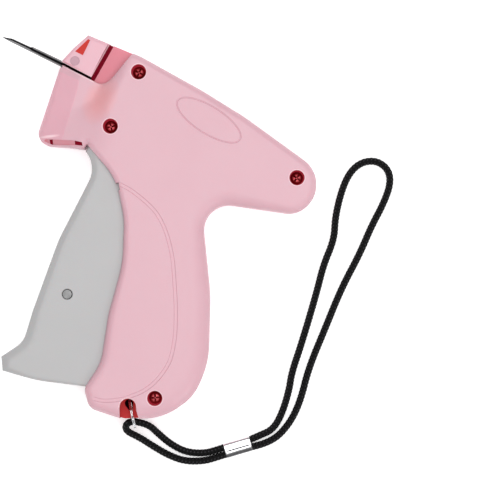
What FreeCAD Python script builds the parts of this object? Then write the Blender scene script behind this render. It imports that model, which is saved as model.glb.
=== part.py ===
"""Garment tag attacher with its wrist strap, as an assembly of separate pieces.

Frame: millimetres. The tool lies on its flat right-hand face, which is z = 0. +X runs back along the
barrel, +Y runs up towards the top of the tool and +Z comes out of its left-hand side. The origin is on
the right-hand face, on the axis that the trigger turns about. The casing parts at half its depth.
"""

import FreeCAD, Part
import math
import os
import re
import Sketcher

from FreeCAD import Vector

# Every size in the sheet, in millimetres and degrees. Places are measured from the origin.
SIZES = {
    # casing
    "casing_depth": 26.0,
    "wall": 2.2,
    "edge_round": 3.0,
    "barrel_height": 14.6,
    "head_step_depth": 4.5,
    "head_step_end": -12.6,
    "head_blend_end": -3.8,
    "head_recess_depth": 4.0,
    "nose_facet_start": -21.0,
    "nose_facet_drop": 3.0,
    "slit_width": 1.1,
    "feed_slot_place": -15.4,
    "feed_slot_width": 1.6,
    "ramp_depth": 4.0,
    "nose_core_end": -17.4,
    # bosses and screws
    "boss_radius": 4.4,
    "lever_boss_radius": 4.0,
    "well_radius": 3.2,
    "screw_seat": 4.0,
    "screw_radius": 1.5,
    "screw_head_radius": 2.7,
    "screw_head_height": 2.2,
    "screw_length": 12.0,
    "screw_clearance": 0.2,
    "thread_clearance": 0.05,
    "top_screw_x": 0.7,
    "top_screw_y": 26.2,
    "rear_screw_x": 81.5,
    "rear_screw_y": 15.2,
    "foot_screw_x": 68.2,
    "foot_screw_y": -96.4,
    "driver_slot_width": 0.8,
    "driver_slot_length": 3.4,
    "driver_slot_depth": 1.2,
    # trigger
    "trigger_width": 18.0,
    "trigger_skin": 2.0,
    "trigger_front_wall": 2.4,
    "trigger_round": 2.4,
    "trigger_hub_radius": 6.4,
    "running_clearance": 0.05,
    # linkage
    "trigger_pin_x": 14.8,
    "trigger_pin_y": -72.9,
    "trigger_pin_radius": 1.9,
    "link_pin_lead": 0.566,
    "link_pin_sink": 0.12,
    "link_half_width": 4.0,
    "link_thickness": 9.0,
    "link_fork_gap": 4.6,
    "link_pin_radius": 1.5,
    "open_pivot_clearance": 0.85,
    "lever_x": 49.5,
    "lever_y": -46.5,
    "lever_thickness": 4.0,
    "lever_pin_radius": 2.0,
    "lever_hub_radius": 5.2,
    "lever_hub_length": 7.0,
    "lever_arm_half_width": 3.6,
    "lever_lower_length": 20.0,
    "lever_lower_angle": -100.0,
    "lever_waist_start": 22.0,
    "lever_waist_end": 12.0,
    "lever_waist_back": 0.9,
    "lever_waist_width": 5.2,
    "fork_half_width": 5.6,
    "fork_slot_width": 5.4,
    "fork_slot_offset": 0.97,
    "fork_slot_lead": 2.64,
    "fork_slot_run": 11.76,
    # slide and push rod
    "slide_pin_x": 53.5,
    "slide_pin_drop": 4.6,
    "slide_pin_radius": 1.5,
    "slide_front": 10.5,
    "slide_back": 12.0,
    "slide_slot_front": 8.0,
    "slide_slot_back": 9.5,
    "slide_height": 6.0,
    "slide_width": 18.0,
    "slide_lug_width": 10.0,
    "slide_slot_width": 4.6,
    "slide_clearance": 0.1,
    "rail_thickness": 1.5,
    "rail_gap": 0.5,
    "rail_start": 3.0,
    "rail_end": 66.0,
    "push_rod_radius": 0.6,
    "push_rod_tip": -13.6,
    "chute_end": -1.0,
    # needle
    "needle_tip": -58.8,
    "needle_radius": 1.1,
    "needle_bore": 0.75,
    "needle_slot_width": 0.7,
    "needle_point_length": 9.0,
    "needle_point_height": 0.35,
    "hub_front": -30.0,
    "hub_back": -18.4,
    "hub_half_size": 2.6,
    "hub_clearance": 0.1,
    # lock knob
    "knob_x": -26.2,
    "knob_rise": 4.0,
    "knob_shaft_radius": 2.0,
    "knob_disc_radius": 4.6,
    "knob_disc_height": 2.6,
    "knob_gap": 0.3,
    "knob_handle_length": 9.0,
    "knob_handle_width": 3.0,
    "knob_handle_angle": -60.0,
    # feed
    "wheel_x": -10.6,
    "wheel_y": 4.4,
    "wheel_radius": 5.2,
    "wheel_thickness": 3.0,
    "wheel_drop": 3.8,
    "tooth_gap_radius": 0.9,
    "axle_radius": 1.25,
    "axle_collar": 2.4,
    "pawl_x": -8.5,
    "pawl_y": -6.0,
    "pawl_pin_radius": 1.0,
    "pawl_hub_radius": 2.1,
    "pawl_tip_x": -5.6,
    "pawl_tip_y": 0.0,
    "pawl_half_width": 0.7,
    "leaf_root_x": -20.0,
    "leaf_root_y": -9.0,
    "leaf_length": 8.8,
    "leaf_angle": 42.0,
    "leaf_thickness": 0.5,
    "leaf_post_radius": 1.6,
    "knife_thickness": 0.8,
    "knife_width": 6.0,
    "knife_height": 4.0,
    # return spring
    "spring_radius": 6.6,
    "spring_wire_radius": 0.4,
    "spring_turns": 2.0,
    "spring_leg_length": 9.0,
    # lanyard
    "lanyard_x": 59.4,
    "lanyard_y": -104.7,
    "lanyard_angle": -64.0,
    "lanyard_half_width": 3.5,
    "lanyard_block": 6.0,
    "lanyard_reach": 12.0,
    "web_thickness": 3.0,
    "web_edge": 3.4,
    "eye_x": 58.9,
    "eye_y": -103.0,
    "eye_radius": 1.6,
    "ring_radius": 5.7,
    "ring_wire_radius": 0.55,
    "ring_angle": -52.0,
    "ring_drop": 0.8,
    # strap
    "cord_diameter": 3.1,
    "ferrule_length": 11.0,
    "ferrule_width": 6.5,
    "ferrule_height": 4.4,
    "ferrule_round": 1.6,
    # mark
    "arrow_depth": 0.4,
}

# Corners of the casing's outline: x, y and the radius that rounds each.
CASING_CORNERS = {
    "nose_foot": (-26.6, -21.7, 5.5),
    "nose_belly": (-14.5, -16.6, 15.0),
    "nose_heel": (-5.3, -13.9, 0.0),
    "trigger_mouth": (-5.2, -11.4, 0.0),
    "shoulder": (12.0, -19.1, 30.0),
    "throat": (22.9, -33.5, 40.0),
    "grip_front": (30.5, -51.0, 55.0),
    "grip_swell": (34.5, -72.9, 30.0),
    "grip_low": (40.7, -92.8, 22.0),
    "toe_front": (39.0, -106.2, 5.0),
    "toe": (44.8, -112.7, 5.5),
    "toe_back": (60.2, -110.6, 4.0),
    "heel_low": (75.4, -102.3, 26.0),
    "heel": (82.6, -89.1, 20.0),
    "back_swell": (82.9, -74.4, 40.0),
    "back": (70.1, -46.3, 84.0),
    "web_of_grip": (48.6, -11.8, 10.8),
    "lobe_low": (90.2, 1.5, 10.8),
    "lobe_back": (92.0, 12.1, 10.5),
    "lobe_top": (87.7, 22.2, 12.4),
    "top_back": (50.2, 28.8, 60.0),
    "top_middle": (28.7, 31.0, 120.0),
    "top_front": (-1.3, 32.6, 29.0),
    "brow": (-26.0, 31.1, 0.0),
    "brow_front": (-29.4, 22.8, 20.0),
    "nose_point": (-31.4, 15.9, 4.0),
}

# Corners of the trigger's outline. Its back edge stays behind the grip's front edge.
TRIGGER_CORNERS = {
    "trigger_top": (-5.0, 5.0, 3.0),
    "trigger_root": (-5.0, -14.4, 0.0),
    "trigger_crook": (1.9, -18.0, 11.6),
    "trigger_belly": (1.1, -53.5, 60.0),
    "trigger_low": (4.5, -86.1, 40.0),
    "finger_stop": (6.7, -99.7, 10.0),
    "trigger_toe": (0.9, -109.5, 0.0),
    "trigger_heel": (4.1, -114.7, 0.0),
    "trigger_sole": (19.2, -112.0, 64.0),
    "trigger_tail": (42.8, -103.9, 1.5),
    "tail_low": (43.4, -91.5, 18.0),
    "tail_swell": (36.5, -72.4, 30.0),
    "tail_front": (32.3, -49.9, 40.0),
    "tail_throat": (25.6, -32.2, 30.0),
    "tail_shoulder": (13.4, -17.0, 15.0),
    "trigger_back": (5.0, 5.0, 3.0),
}

# The opening in the casing's front edge that the trigger passes through.
WINDOW_CORNERS = {
    "window_top": (-5.6, 6.0),
    "window_front": (-5.6, -22.0),
    "window_low": (10.0, -118.0),
    "window_sole": (38.4, -109.3),
    "window_tail": (43.6, -107.0),
    "window_swell": (44.6, -90.0),
    "window_mid": (36.0, -56.0),
    "window_throat": (26.0, -29.0),
    "window_shoulder": (12.0, -9.0),
}

# The ramp beside the feed slot, and the red mark on the nose plate, whose y counts from the barrel.
RAMP_CORNERS = {
    "ramp_top": (-4.9, 36.0),
    "ramp_high": (-5.6, 28.2),
    "ramp_mid": (-8.0, 20.6),
    "ramp_low": (-10.6, 16.2),
    "ramp_foot": (-14.8, 14.2),
    "ramp_slot": (-14.8, 36.0),
}
ARROW_CORNERS = {
    "arrow_tip_front": (-25.1, 14.6),
    "arrow_low_front": (-27.8, 7.4),
    "arrow_low_back": (-24.1, 7.4),
    "arrow_tip_back": (-24.1, 14.6),
}

# The cord's route, point by point: x, y, z. The small loop holds the ring, the wrist loop is free.
SMALL_LOOP_ROUTE = [
    (106.7, -106.1, 2.2), (104.3, -108.4, 1.8), (99.6, -112.9, 1.6), (91.8, -116.8, 1.6),
    (83.9, -117.5, 2.0), (76.0, -116.7, 4.0), (69.6, -115.7, 6.5), (62.1, -115.6, 8.6),
    (62.1, -110.6, 12.8), (70.6, -108.6, 10.6), (76.2, -110.7, 6.2), (82.9, -112.7, 2.6),
    (90.5, -113.0, 1.6), (97.8, -110.1, 1.6), (102.3, -106.2, 1.8), (104.7, -103.7, 2.2),
]
WRIST_LOOP_ROUTE = [
    (113.2, -95.9, 2.2), (116.0, -92.6, 1.8), (120.3, -87.6, 1.6), (120.9, -79.8, 1.6),
    (119.2, -69.0, 1.6), (116.8, -61.5, 1.6), (115.2, -48.6, 1.6), (111.3, -25.3, 1.6),
    (108.7, -13.5, 1.6), (108.0, -1.1, 1.6), (104.2, 7.6, 1.6), (101.6, 19.0, 1.6),
    (101.2, 28.1, 1.6), (104.0, 34.5, 1.6), (109.6, 37.9, 1.6), (116.0, 36.7, 1.6),
    (119.6, 31.3, 1.6), (120.5, 21.8, 1.6), (120.1, 11.1, 1.6), (120.8, -2.0, 1.6),
    (120.2, -19.0, 1.6), (121.5, -37.8, 1.6), (122.6, -56.6, 1.6), (125.8, -71.5, 1.6),
    (125.7, -82.8, 1.6), (122.0, -93.1, 1.8), (115.3, -98.3, 2.2),
]

DOC = FreeCAD.newDocument("TagAttacher")
SHEET = DOC.addObject("Spreadsheet::Sheet", "dims")
SUBPARTS = []


def fill_sheet():
    """Write every named size and corner to the sheet; a corner gives NAME_x, NAME_y and NAME_r."""
    cells = dict(SIZES)
    for corners in (CASING_CORNERS, TRIGGER_CORNERS, WINDOW_CORNERS, RAMP_CORNERS, ARROW_CORNERS):
        for name, numbers in corners.items():
            for letter, number in zip("xyr", numbers):
                cells[name + "_" + letter] = number
    for row, (alias, number) in enumerate(cells.items(), start=1):
        SHEET.set("A%d" % row, alias)
        SHEET.set("B%d" % row, repr(number))
        SHEET.setAlias("B%d" % row, alias)
    DOC.recompute()
    return set(cells)


ALIASES = fill_sheet()


def of_sheet(expression):
    """Point each word of an expression that names a cell at the sheet."""
    return re.sub(r"[a-z_]+", lambda word: "dims." + word[0] if word[0] in ALIASES else word[0],
                  str(expression))


def value(expression):
    """Work an expression out as a plain number."""
    return float(SHEET.evalExpression(of_sheet(expression).replace("dims.", "")))


def bind(piece, **settings):
    """Tie properties to expressions; a double underscore in a keyword stands for a dot."""
    for path, expression in settings.items():
        piece.setExpression(path.replace("__", "."), of_sheet(expression))


# Profiles and basic solids


def corner_list(corners):
    """The expressions of each corner of a table, as (x, y, radius)."""
    return [
        (name + "_x", name + "_y", name + "_r" if len(numbers) == 3 else "0")
        for name, numbers in corners.items()
    ]


def draw_profile(sketch, corners):
    """Draw a closed profile in a sketch, tied to its corners' expressions.

    A corner with a radius gets a tangent arc, and a construction point stands at its tip.
    """
    tips = [Vector(value(x), value(y), 0) for x, y, radius in corners]
    radii = [value(radius) for x, y, radius in corners]
    count = len(corners)
    begins, ends, arcs, leftward = [], [], {}, {}
    for index, tip in enumerate(tips):
        to_last = (tips[index - 1] - tip).normalize()
        to_next = (tips[(index + 1) % count] - tip).normalize()
        reach = 0
        if radii[index] > 0:
            half = to_last.getAngle(to_next) / 2
            reach = radii[index] / math.tan(half)
            inward = radii[index] / math.sin(half) - radii[index]
            middle = tip + (to_last + to_next).normalize() * inward
            arcs[index] = Part.Arc(tip + to_last * reach, middle, tip + to_next * reach)
            leftward[index] = to_last.cross(to_next).z < 0
        begins.append(tip + to_last * reach)
        ends.append(tip + to_next * reach)
    lines = [Part.LineSegment(ends[index], begins[(index + 1) % count]) for index in range(count)]
    first_line = sketch.GeometryCount
    sketch.addGeometry(lines, False)
    first_arc = sketch.GeometryCount
    sketch.addGeometry(list(arcs.values()), False)
    first_tip = sketch.GeometryCount
    sketch.addGeometry([Part.Point(tips[index]) for index in arcs], True)
    rules, bound = [], []
    for index, (x, y, radius) in enumerate(corners):
        before, after = first_line + (index - 1) % count, first_line + index
        if index in arcs:
            order = list(arcs).index(index)
            arc, pinned = first_arc + order, first_tip + order
            begin, end = (1, 2) if leftward[index] else (2, 1)
            rules += [
                Sketcher.Constraint("Tangent", before, 2, arc, begin),
                Sketcher.Constraint("Tangent", after, 1, arc, end),
                Sketcher.Constraint("PointOnObject", pinned, 1, before),
                Sketcher.Constraint("PointOnObject", pinned, 1, after),
            ]
            bound.append((Sketcher.Constraint("Radius", arc, radii[index]), radius))
        else:
            rules.append(Sketcher.Constraint("Coincident", before, 2, after, 1))
            pinned = after
        bound.append((Sketcher.Constraint("DistanceX", -1, 1, pinned, 1, tips[index].x), x))
        bound.append((Sketcher.Constraint("DistanceY", -1, 1, pinned, 1, tips[index].y), y))
    first_bound = sketch.ConstraintCount + len(rules)
    sketch.addConstraint(rules + [rule for rule, expression in bound])
    for number, (rule, expression) in enumerate(bound, start=first_bound):
        sketch.setExpression("Constraints[%d]" % number, of_sheet(expression))


def attach(body, sketch, role, offset):
    """Lay a sketch on one of its own body's planes, moved along that plane's normal."""
    plane = next(feature for feature in body.Origin.OriginFeatures if feature.Role == role)
    sketch.AttachmentSupport = (plane, [""])
    sketch.MapMode = "FlatFace"
    bind(sketch, AttachmentOffset__Base__z=offset)


def prism(name, corners, low, high, role="XY_Plane"):
    """A body padded from a profile, between two levels along its plane's normal."""
    body = DOC.addObject("PartDesign::Body", name)
    sketch = body.newObject("Sketcher::SketchObject", name + "_profile")
    attach(body, sketch, role, low)
    draw_profile(sketch, corners)
    pad = body.newObject("PartDesign::Pad", name + "_pad")
    pad.Profile = sketch
    bind(pad, Length="(%s) - (%s)" % (high, low))
    return body


def rectangle(x_low, x_high, y_low, y_high, radius="0"):
    """The corners of an upright rectangle."""
    return [
        (x_low, y_low, radius), (x_high, y_low, radius), (x_high, y_high, radius), (x_low, y_high, radius),
    ]


def block(name, x_low, x_high, y_low, y_high, z_low, z_high):
    """A box between three pairs of levels."""
    box = DOC.addObject("Part::Box", name)
    bind(box, Length="(%s) - (%s)" % (x_high, x_low), Width="(%s) - (%s)" % (y_high, y_low),
         Height="(%s) - (%s)" % (z_high, z_low), Placement__Base__x=x_low, Placement__Base__y=y_low,
         Placement__Base__z=z_low)
    return box


def rod(name, radius, x, y, low, high):
    """A cylinder across the tool, its axis along Z."""
    cylinder = DOC.addObject("Part::Cylinder", name)
    bind(cylinder, Radius=radius, Height="(%s) - (%s)" % (high, low), Placement__Base__x=x,
         Placement__Base__y=y, Placement__Base__z=low)
    return cylinder


def long_rod(name, radius, x_low, x_high, y, z):
    """A cylinder along the barrel, its axis along X."""
    cylinder = DOC.addObject("Part::Cylinder", name)
    cylinder.Placement = FreeCAD.Placement(Vector(), FreeCAD.Rotation(Vector(0, 1, 0), 90))
    bind(cylinder, Radius=radius, Height="(%s) - (%s)" % (x_high, x_low), Placement__Base__x=x_low,
         Placement__Base__y=y, Placement__Base__z=z)
    return cylinder


def turned(piece, x, y, angle):
    """Set a piece down at a place, turned about Z."""
    piece.Placement = FreeCAD.Placement(Vector(), FreeCAD.Rotation(Vector(0, 0, 1), 0.0))
    bind(piece, Placement__Base__x=x, Placement__Base__y=y, Placement__Rotation__Angle=angle)
    return piece


def joined(name, pieces):
    """One solid from several that meet."""
    fusion = DOC.addObject("Part::MultiFuse", name)
    fusion.Shapes = pieces
    return fusion


def minus(name, base, tools):
    """A solid with others taken out of it."""
    cut = DOC.addObject("Part::Cut", name)
    cut.Base = base
    cut.Tool = tools[0] if len(tools) == 1 else joined(name + "_tools", tools)
    return cut


def common(name, pieces):
    """What several solids share."""
    shared = DOC.addObject("Part::MultiCommon", name)
    shared.Shapes = pieces
    return shared


def subpart(label, piece):
    """Give a finished sub-part the name that its file takes."""
    piece.Label = label
    SUBPARTS.append(piece)
    return piece


# The levels and places that several pieces share, as expressions

MIDDLE = "casing_depth / 2"
HEAD_TOP = "casing_depth - head_step_depth"
SLIT_LOW = "barrel_height - slit_width / 2"
SLIT_HIGH = "barrel_height + slit_width / 2"
SLOT_FRONT = "feed_slot_place - feed_slot_width / 2"
SLOT_BACK = "feed_slot_place + feed_slot_width / 2"
TRIGGER_LOW = "casing_depth / 2 - trigger_width / 2"
TRIGGER_HIGH = "casing_depth / 2 + trigger_width / 2"
SLIDE_PIN_Y = "barrel_height - slide_pin_drop"
SLIDE_SLOT_FRONT = "slide_pin_x - slide_slot_front"
KNOB_Y = "barrel_height + knob_rise"
WHEEL_LOW = "casing_depth / 2 - wheel_drop"
WHEEL_HIGH = WHEEL_LOW + " + wheel_thickness"
LINK_END_X = "lever_x + lever_lower_length * cos(lever_lower_angle) - link_pin_lead"
LINK_END_Y = "lever_y + lever_lower_length * sin(lever_lower_angle) - link_pin_sink"
LINK_LENGTH = "hypot(%s - trigger_pin_x; %s - trigger_pin_y)" % (LINK_END_X, LINK_END_Y)
LINK_ANGLE = "atan2(%s - trigger_pin_y; %s - trigger_pin_x)" % (LINK_END_Y, LINK_END_X)
FORK_PIN = "hypot(slide_pin_x - lever_x; %s - lever_y)" % SLIDE_PIN_Y
FORK_ANGLE = "atan2(%s - lever_y; slide_pin_x - lever_x)" % SLIDE_PIN_Y
FORK_SLOT_START = FORK_PIN + " - fork_slot_lead"
FORK_REACH = FORK_PIN + " + fork_slot_run"
FAR = "200"
SCREWS = {
    "pivot": ("0", "0"),
    "top": ("top_screw_x", "top_screw_y"),
    "rear": ("rear_screw_x", "rear_screw_y"),
    "foot": ("foot_screw_x", "foot_screw_y"),
}


# Casing


def rounded_half(name, low, high, outer_face_level):
    """Half of the casing's outer form, its outer edge rounded."""
    body = prism(name, corner_list(CASING_CORNERS), low, high)
    DOC.recompute()
    pad = body.Tip
    level = value(outer_face_level)
    face = next(
        index for index, face in enumerate(pad.Shape.Faces, start=1)
        if face.BoundBox.ZLength < 0.001 and abs(face.BoundBox.ZMin - level) < 0.001
    )
    rounding = body.newObject("PartDesign::Fillet", name + "_rounding")
    rounding.Base = (pad, ["Face%d" % face])
    bind(rounding, Radius="edge_round")
    return body


def cavity_outline():
    """The casing's outline, moved in by the wall; both halves are hollowed by it."""
    outline = DOC.addObject("Sketcher::SketchObject", "cavity_source")
    draw_profile(outline, corner_list(CASING_CORNERS))
    inset = DOC.addObject("Part::Offset2D", "cavity_inset")
    inset.Source = outline
    inset.Mode = "Pipe"
    inset.Join = "Arc"
    bind(inset, Value="-wall")
    return inset


def cavity(name, inset, low, high):
    """The hollow of a casing half, between two levels."""
    hollow = DOC.addObject("Part::Extrusion", name)
    hollow.Base = inset
    hollow.DirMode = "Custom"
    hollow.Dir = Vector(0, 0, 1)
    hollow.Solid = True
    bind(hollow, LengthFwd="(%s) - (%s)" % (high, low), Placement__Base__z=low)
    return hollow


def channel(name, start, half_width, low, high):
    """A straight-sided form from a distance past the lanyard's centre out through the casing's edge."""
    sides = rectangle(start, "lanyard_reach", "-" + half_width, half_width)
    return turned(prism(name, sides, low, high), "lanyard_x", "lanyard_y", "lanyard_angle")


def casing_half(name, form, inset, low, high, rail_low, rail_high, kept, tools):
    """A casing half: its form, less a hollow that leaves the bosses, rails and cores, less its cuts."""
    under = "barrel_height - slide_height / 2 - slide_clearance"
    above = "barrel_height + slide_height / 2 + slide_clearance"
    kept = kept + [
        rod(name + "_boss_" + key, "boss_radius", x, y, low, high) for key, (x, y) in SCREWS.items()
    ] + [
        block(name + "_rail_under", "rail_start", "rail_end", under + " - rail_thickness", under,
              rail_low, rail_high),
        block(name + "_rail_above", "rail_start", "rail_end", above, above + " + rail_thickness",
              rail_low, rail_high),
        rod(name + "_lanyard_core", "lanyard_block", "lanyard_x", "lanyard_y", low, high),
        channel(name + "_lanyard_foot", "0", "lanyard_block", low, high),
    ]
    opened = joined(name + "_opened", [
        cavity(name + "_cavity", inset, low, high),
        prism(name + "_window", corner_list(WINDOW_CORNERS), low, high),
    ])
    hollow = minus(name + "_hollow", opened, kept)
    return minus(name + "_half", form, [hollow] + tools)


def lanyard_tools(name, low, high, recess_low, recess_high):
    """The lanyard's round recess, the channel out of it and the eye in the web between the halves."""
    return [
        rod(name + "_recess", "lanyard_half_width", "lanyard_x", "lanyard_y", recess_low, recess_high),
        channel(name + "_recess_mouth", "0", "lanyard_half_width", recess_low, recess_high),
        channel(name + "_mouth", "web_edge", "lanyard_half_width", low, high),
        rod(name + "_eye", "eye_radius", "eye_x", "eye_y", low, high),
    ]


def hub_pocket(name, low, high):
    """Room for the needle's hub, with the hub's clearance."""
    return block(name, "-40", "hub_back + hub_clearance",
                 "barrel_height - hub_half_size - hub_clearance",
                 "barrel_height + hub_half_size + hub_clearance", low, high)


def rod_way(name):
    """The push rod's way through the head."""
    return long_rod(name, "push_rod_radius + slide_clearance * 3", "-20", "rail_start + 4",
                    "barrel_height", MIDDLE)


def make_right_shell(inset):
    """The half that the tool lies on: blind screw bosses, the nose core and the knob's recess."""
    gear_top = WHEEL_LOW + " - slide_clearance"
    kept = [
        block("right_nose_core", "-40", "nose_core_end", "barrel_height - 7", "40", "wall", MIDDLE),
        block("right_head_floor", "-40", "head_step_end + wall", "barrel_height - 8 - wall", "40", "wall",
              "head_recess_depth + wall"),
        block("right_chute_wall", "nose_core_end - 0.1", "chute_end", "barrel_height - 1.5",
              "barrel_height + 3", "wall", MIDDLE),
        rod("right_lever_boss", "lever_boss_radius", "lever_x", "lever_y", "wall",
            "casing_depth / 2 - lever_hub_length / 2 - slide_clearance"),
        rod("right_axle_boss", "axle_collar", "wheel_x", "wheel_y", "wall", gear_top),
        rod("right_pawl_boss", "pawl_hub_radius", "pawl_x", "pawl_y", "wall", gear_top),
        rod("right_leaf_post", "leaf_post_radius", "leaf_root_x", "leaf_root_y", "wall", WHEEL_LOW),
    ]
    screw_bottom = "casing_depth / 2 + screw_seat - screw_length - 0.5"
    tools = [
        rod("right_pilot_" + key, "screw_radius + thread_clearance", x, y, screw_bottom, MIDDLE)
        for key, (x, y) in SCREWS.items()
    ]
    tools += [
        rod("right_lever_socket", "lever_pin_radius", "lever_x", "lever_y", TRIGGER_LOW, MIDDLE),
        rod("right_axle_socket", "axle_radius", "wheel_x", "wheel_y", "wall + 1", MIDDLE),
        rod("right_pawl_socket", "pawl_pin_radius", "pawl_x", "pawl_y", "wall + 1", MIDDLE),
        block("right_head_recess", "-40", "head_step_end", "barrel_height - 8", "40", "-1",
              "head_recess_depth"),
        hub_pocket("right_hub_pocket", "casing_depth / 2 - hub_half_size - hub_clearance", MIDDLE),
        rod("right_knob_hole", "knob_shaft_radius + running_clearance", "knob_x", KNOB_Y, "0", MIDDLE),
        knife_block("right_knife_pocket"),
        rod_way("right_rod_way"),
    ]
    tools += lanyard_tools("right", "-1", MIDDLE, "-1", "casing_depth / 2 - web_thickness / 2")
    form = rounded_half("right_form", "0", MIDDLE, "0")
    return subpart("right_shell", casing_half(
        "right", form, inset, "wall", MIDDLE, "wall", "casing_depth / 2 - slide_lug_width / 2 - rail_gap",
        kept, tools))


def make_left_shell(form, inset):
    """The half that is seen: screw wells, the stepped and faceted head and the feed slot's ramp."""
    top = "casing_depth + 1"
    kept = [
        prism("left_head_floor", [
            ("-40", HEAD_TOP + " - wall", "0"), ("head_step_end", HEAD_TOP + " - wall", "0"),
            ("head_blend_end", "casing_depth - wall", "0"), ("head_blend_end", "casing_depth", "0"),
            ("-40", "casing_depth", "0"),
        ], "-40", "40", "XZ_Plane"),
        block("left_ramp_core", "-40", "head_blend_end + 2", "barrel_height - 3", "40",
              HEAD_TOP + " - ramp_depth - wall", "casing_depth"),
        block("left_nose_core", "-40", "nose_core_end", "barrel_height - 7", "barrel_height", MIDDLE,
              "casing_depth"),
        rod("left_lever_boss", "lever_boss_radius", "lever_x", "lever_y",
            "casing_depth / 2 + lever_hub_length / 2 + slide_clearance", "casing_depth - wall"),
    ]
    tools = []
    for key, (x, y) in SCREWS.items():
        tools.append(rod("left_well_" + key, "well_radius", x, y, "casing_depth / 2 + screw_seat", top))
        tools.append(rod("left_way_" + key, "screw_radius + screw_clearance", x, y, MIDDLE, top))
    slope = [
        ("-40", HEAD_TOP, "0"), ("head_step_end", HEAD_TOP, "0"), ("head_blend_end", "casing_depth", "0"),
        ("head_blend_end", top, "0"), ("-40", top, "0"),
    ]
    facet = [
        ("-40", HEAD_TOP + " - nose_facet_drop - 4", "0"), ("-31", HEAD_TOP + " - nose_facet_drop", "0"),
        ("nose_facet_start", HEAD_TOP, "0"), ("nose_facet_start", top, "0"), ("-40", top, "0"),
    ]
    tools += [
        rod("left_lever_socket", "lever_pin_radius", "lever_x", "lever_y", MIDDLE, TRIGGER_HIGH),
        prism("left_head_step", slope, "-40", "40", "XZ_Plane"),
        prism("left_nose_facet", facet, "-(barrel_height)", "40", "XZ_Plane"),
        prism("left_ramp", corner_list(RAMP_CORNERS), HEAD_TOP + " - ramp_depth", top),
        block("left_feed_slot", "-40", SLOT_BACK, SLIT_LOW, "40", "0", top),
        hub_pocket("left_hub_pocket", MIDDLE, "casing_depth / 2 + hub_half_size + hub_clearance"),
        rod_way("left_rod_way"),
    ]
    tools += lanyard_tools("left", MIDDLE, top, "casing_depth / 2 + web_thickness / 2", top)
    return subpart("left_shell", casing_half(
        "left", form, inset, MIDDLE, "casing_depth - wall",
        "casing_depth / 2 + slide_lug_width / 2 + rail_gap", "casing_depth - wall", kept, tools))


def make_nose_plate(form):
    """The upper front plate of the head, between the slit and the feed slot."""
    region = block("plate_region", "-40", SLOT_FRONT, SLIT_HIGH, "40", MIDDLE, HEAD_TOP)
    solid = common("plate_form", [form, region])
    return subpart("nose_plate", minus("NosePlate", solid, [
        hub_pocket("plate_hub_pocket", MIDDLE, "casing_depth / 2 + hub_half_size + hub_clearance"),
        rod_way("plate_rod_way"),
        rod("plate_knob_hole", "knob_shaft_radius + running_clearance", "knob_x", KNOB_Y, MIDDLE, FAR),
        arrow("plate_arrow", HEAD_TOP + " + 1"),
    ]))


def arrow(name, high):
    """The mark's form, from the bottom of its recess up."""
    corners = [(x, y + " + barrel_height", radius) for x, y, radius in corner_list(ARROW_CORNERS)]
    return prism(name, corners, HEAD_TOP + " - arrow_depth", high)


def make_arrow_mark():
    """The red mark that fills its recess in the nose plate."""
    return subpart("arrow_mark", arrow("ArrowMark", HEAD_TOP))


def make_casing_screws():
    """Four self-tapping screws, each seated on the floor of its well."""
    seat = "casing_depth / 2 + screw_seat"
    solids = []
    for key, (x, y) in SCREWS.items():
        body = DOC.addObject("PartDesign::Body", "screw_" + key)
        sketch = body.newObject("Sketcher::SketchObject", "screw_" + key + "_profile")
        attach(body, sketch, "XZ_Plane", "0")
        draw_profile(sketch, [
            ("0", "screw_seat - screw_length", "0"), ("screw_radius", "screw_seat - screw_length + 1.4", "0"),
            ("screw_radius", "screw_seat", "0"), ("screw_head_radius", "screw_seat", "0"),
            ("screw_head_radius", "screw_seat + screw_head_height * 0.55", "0"),
            ("screw_head_radius * 0.72", "screw_seat + screw_head_height", "0"),
            ("0", "screw_seat + screw_head_height", "0"),
        ])
        turn = body.newObject("PartDesign::Revolution", "screw_" + key + "_turn")
        turn.Profile = sketch
        turn.ReferenceAxis = (sketch, ["V_Axis"])
        turn.Angle = 360
        driver = body.newObject("Sketcher::SketchObject", "screw_" + key + "_driver")
        attach(body, driver, "XY_Plane", "screw_seat + screw_head_height")
        draw_profile(driver, rectangle("-driver_slot_length / 2", "driver_slot_length / 2",
                                       "-driver_slot_width / 2", "driver_slot_width / 2"))
        cross = body.newObject("PartDesign::Pocket", "screw_" + key + "_slot")
        cross.Profile = driver
        bind(cross, Length="driver_slot_depth")
        DOC.recompute()
        pattern = body.newObject("PartDesign::PolarPattern", "screw_" + key + "_cross")
        pattern.Originals = [cross]
        pattern.Axis = (sketch, ["V_Axis"])
        pattern.Angle = 180
        pattern.Occurrences = 2
        pattern.Mode = "Extent"
        body.Tip = pattern
        bind(body, Placement__Base__x=x, Placement__Base__y=y, Placement__Base__z=MIDDLE)
        solids.append(body)
    group = DOC.addObject("Part::Compound", "CasingScrews")
    group.Links = solids
    return subpart("casing_screws", group)


# Needle, lock knob and feed


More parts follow.
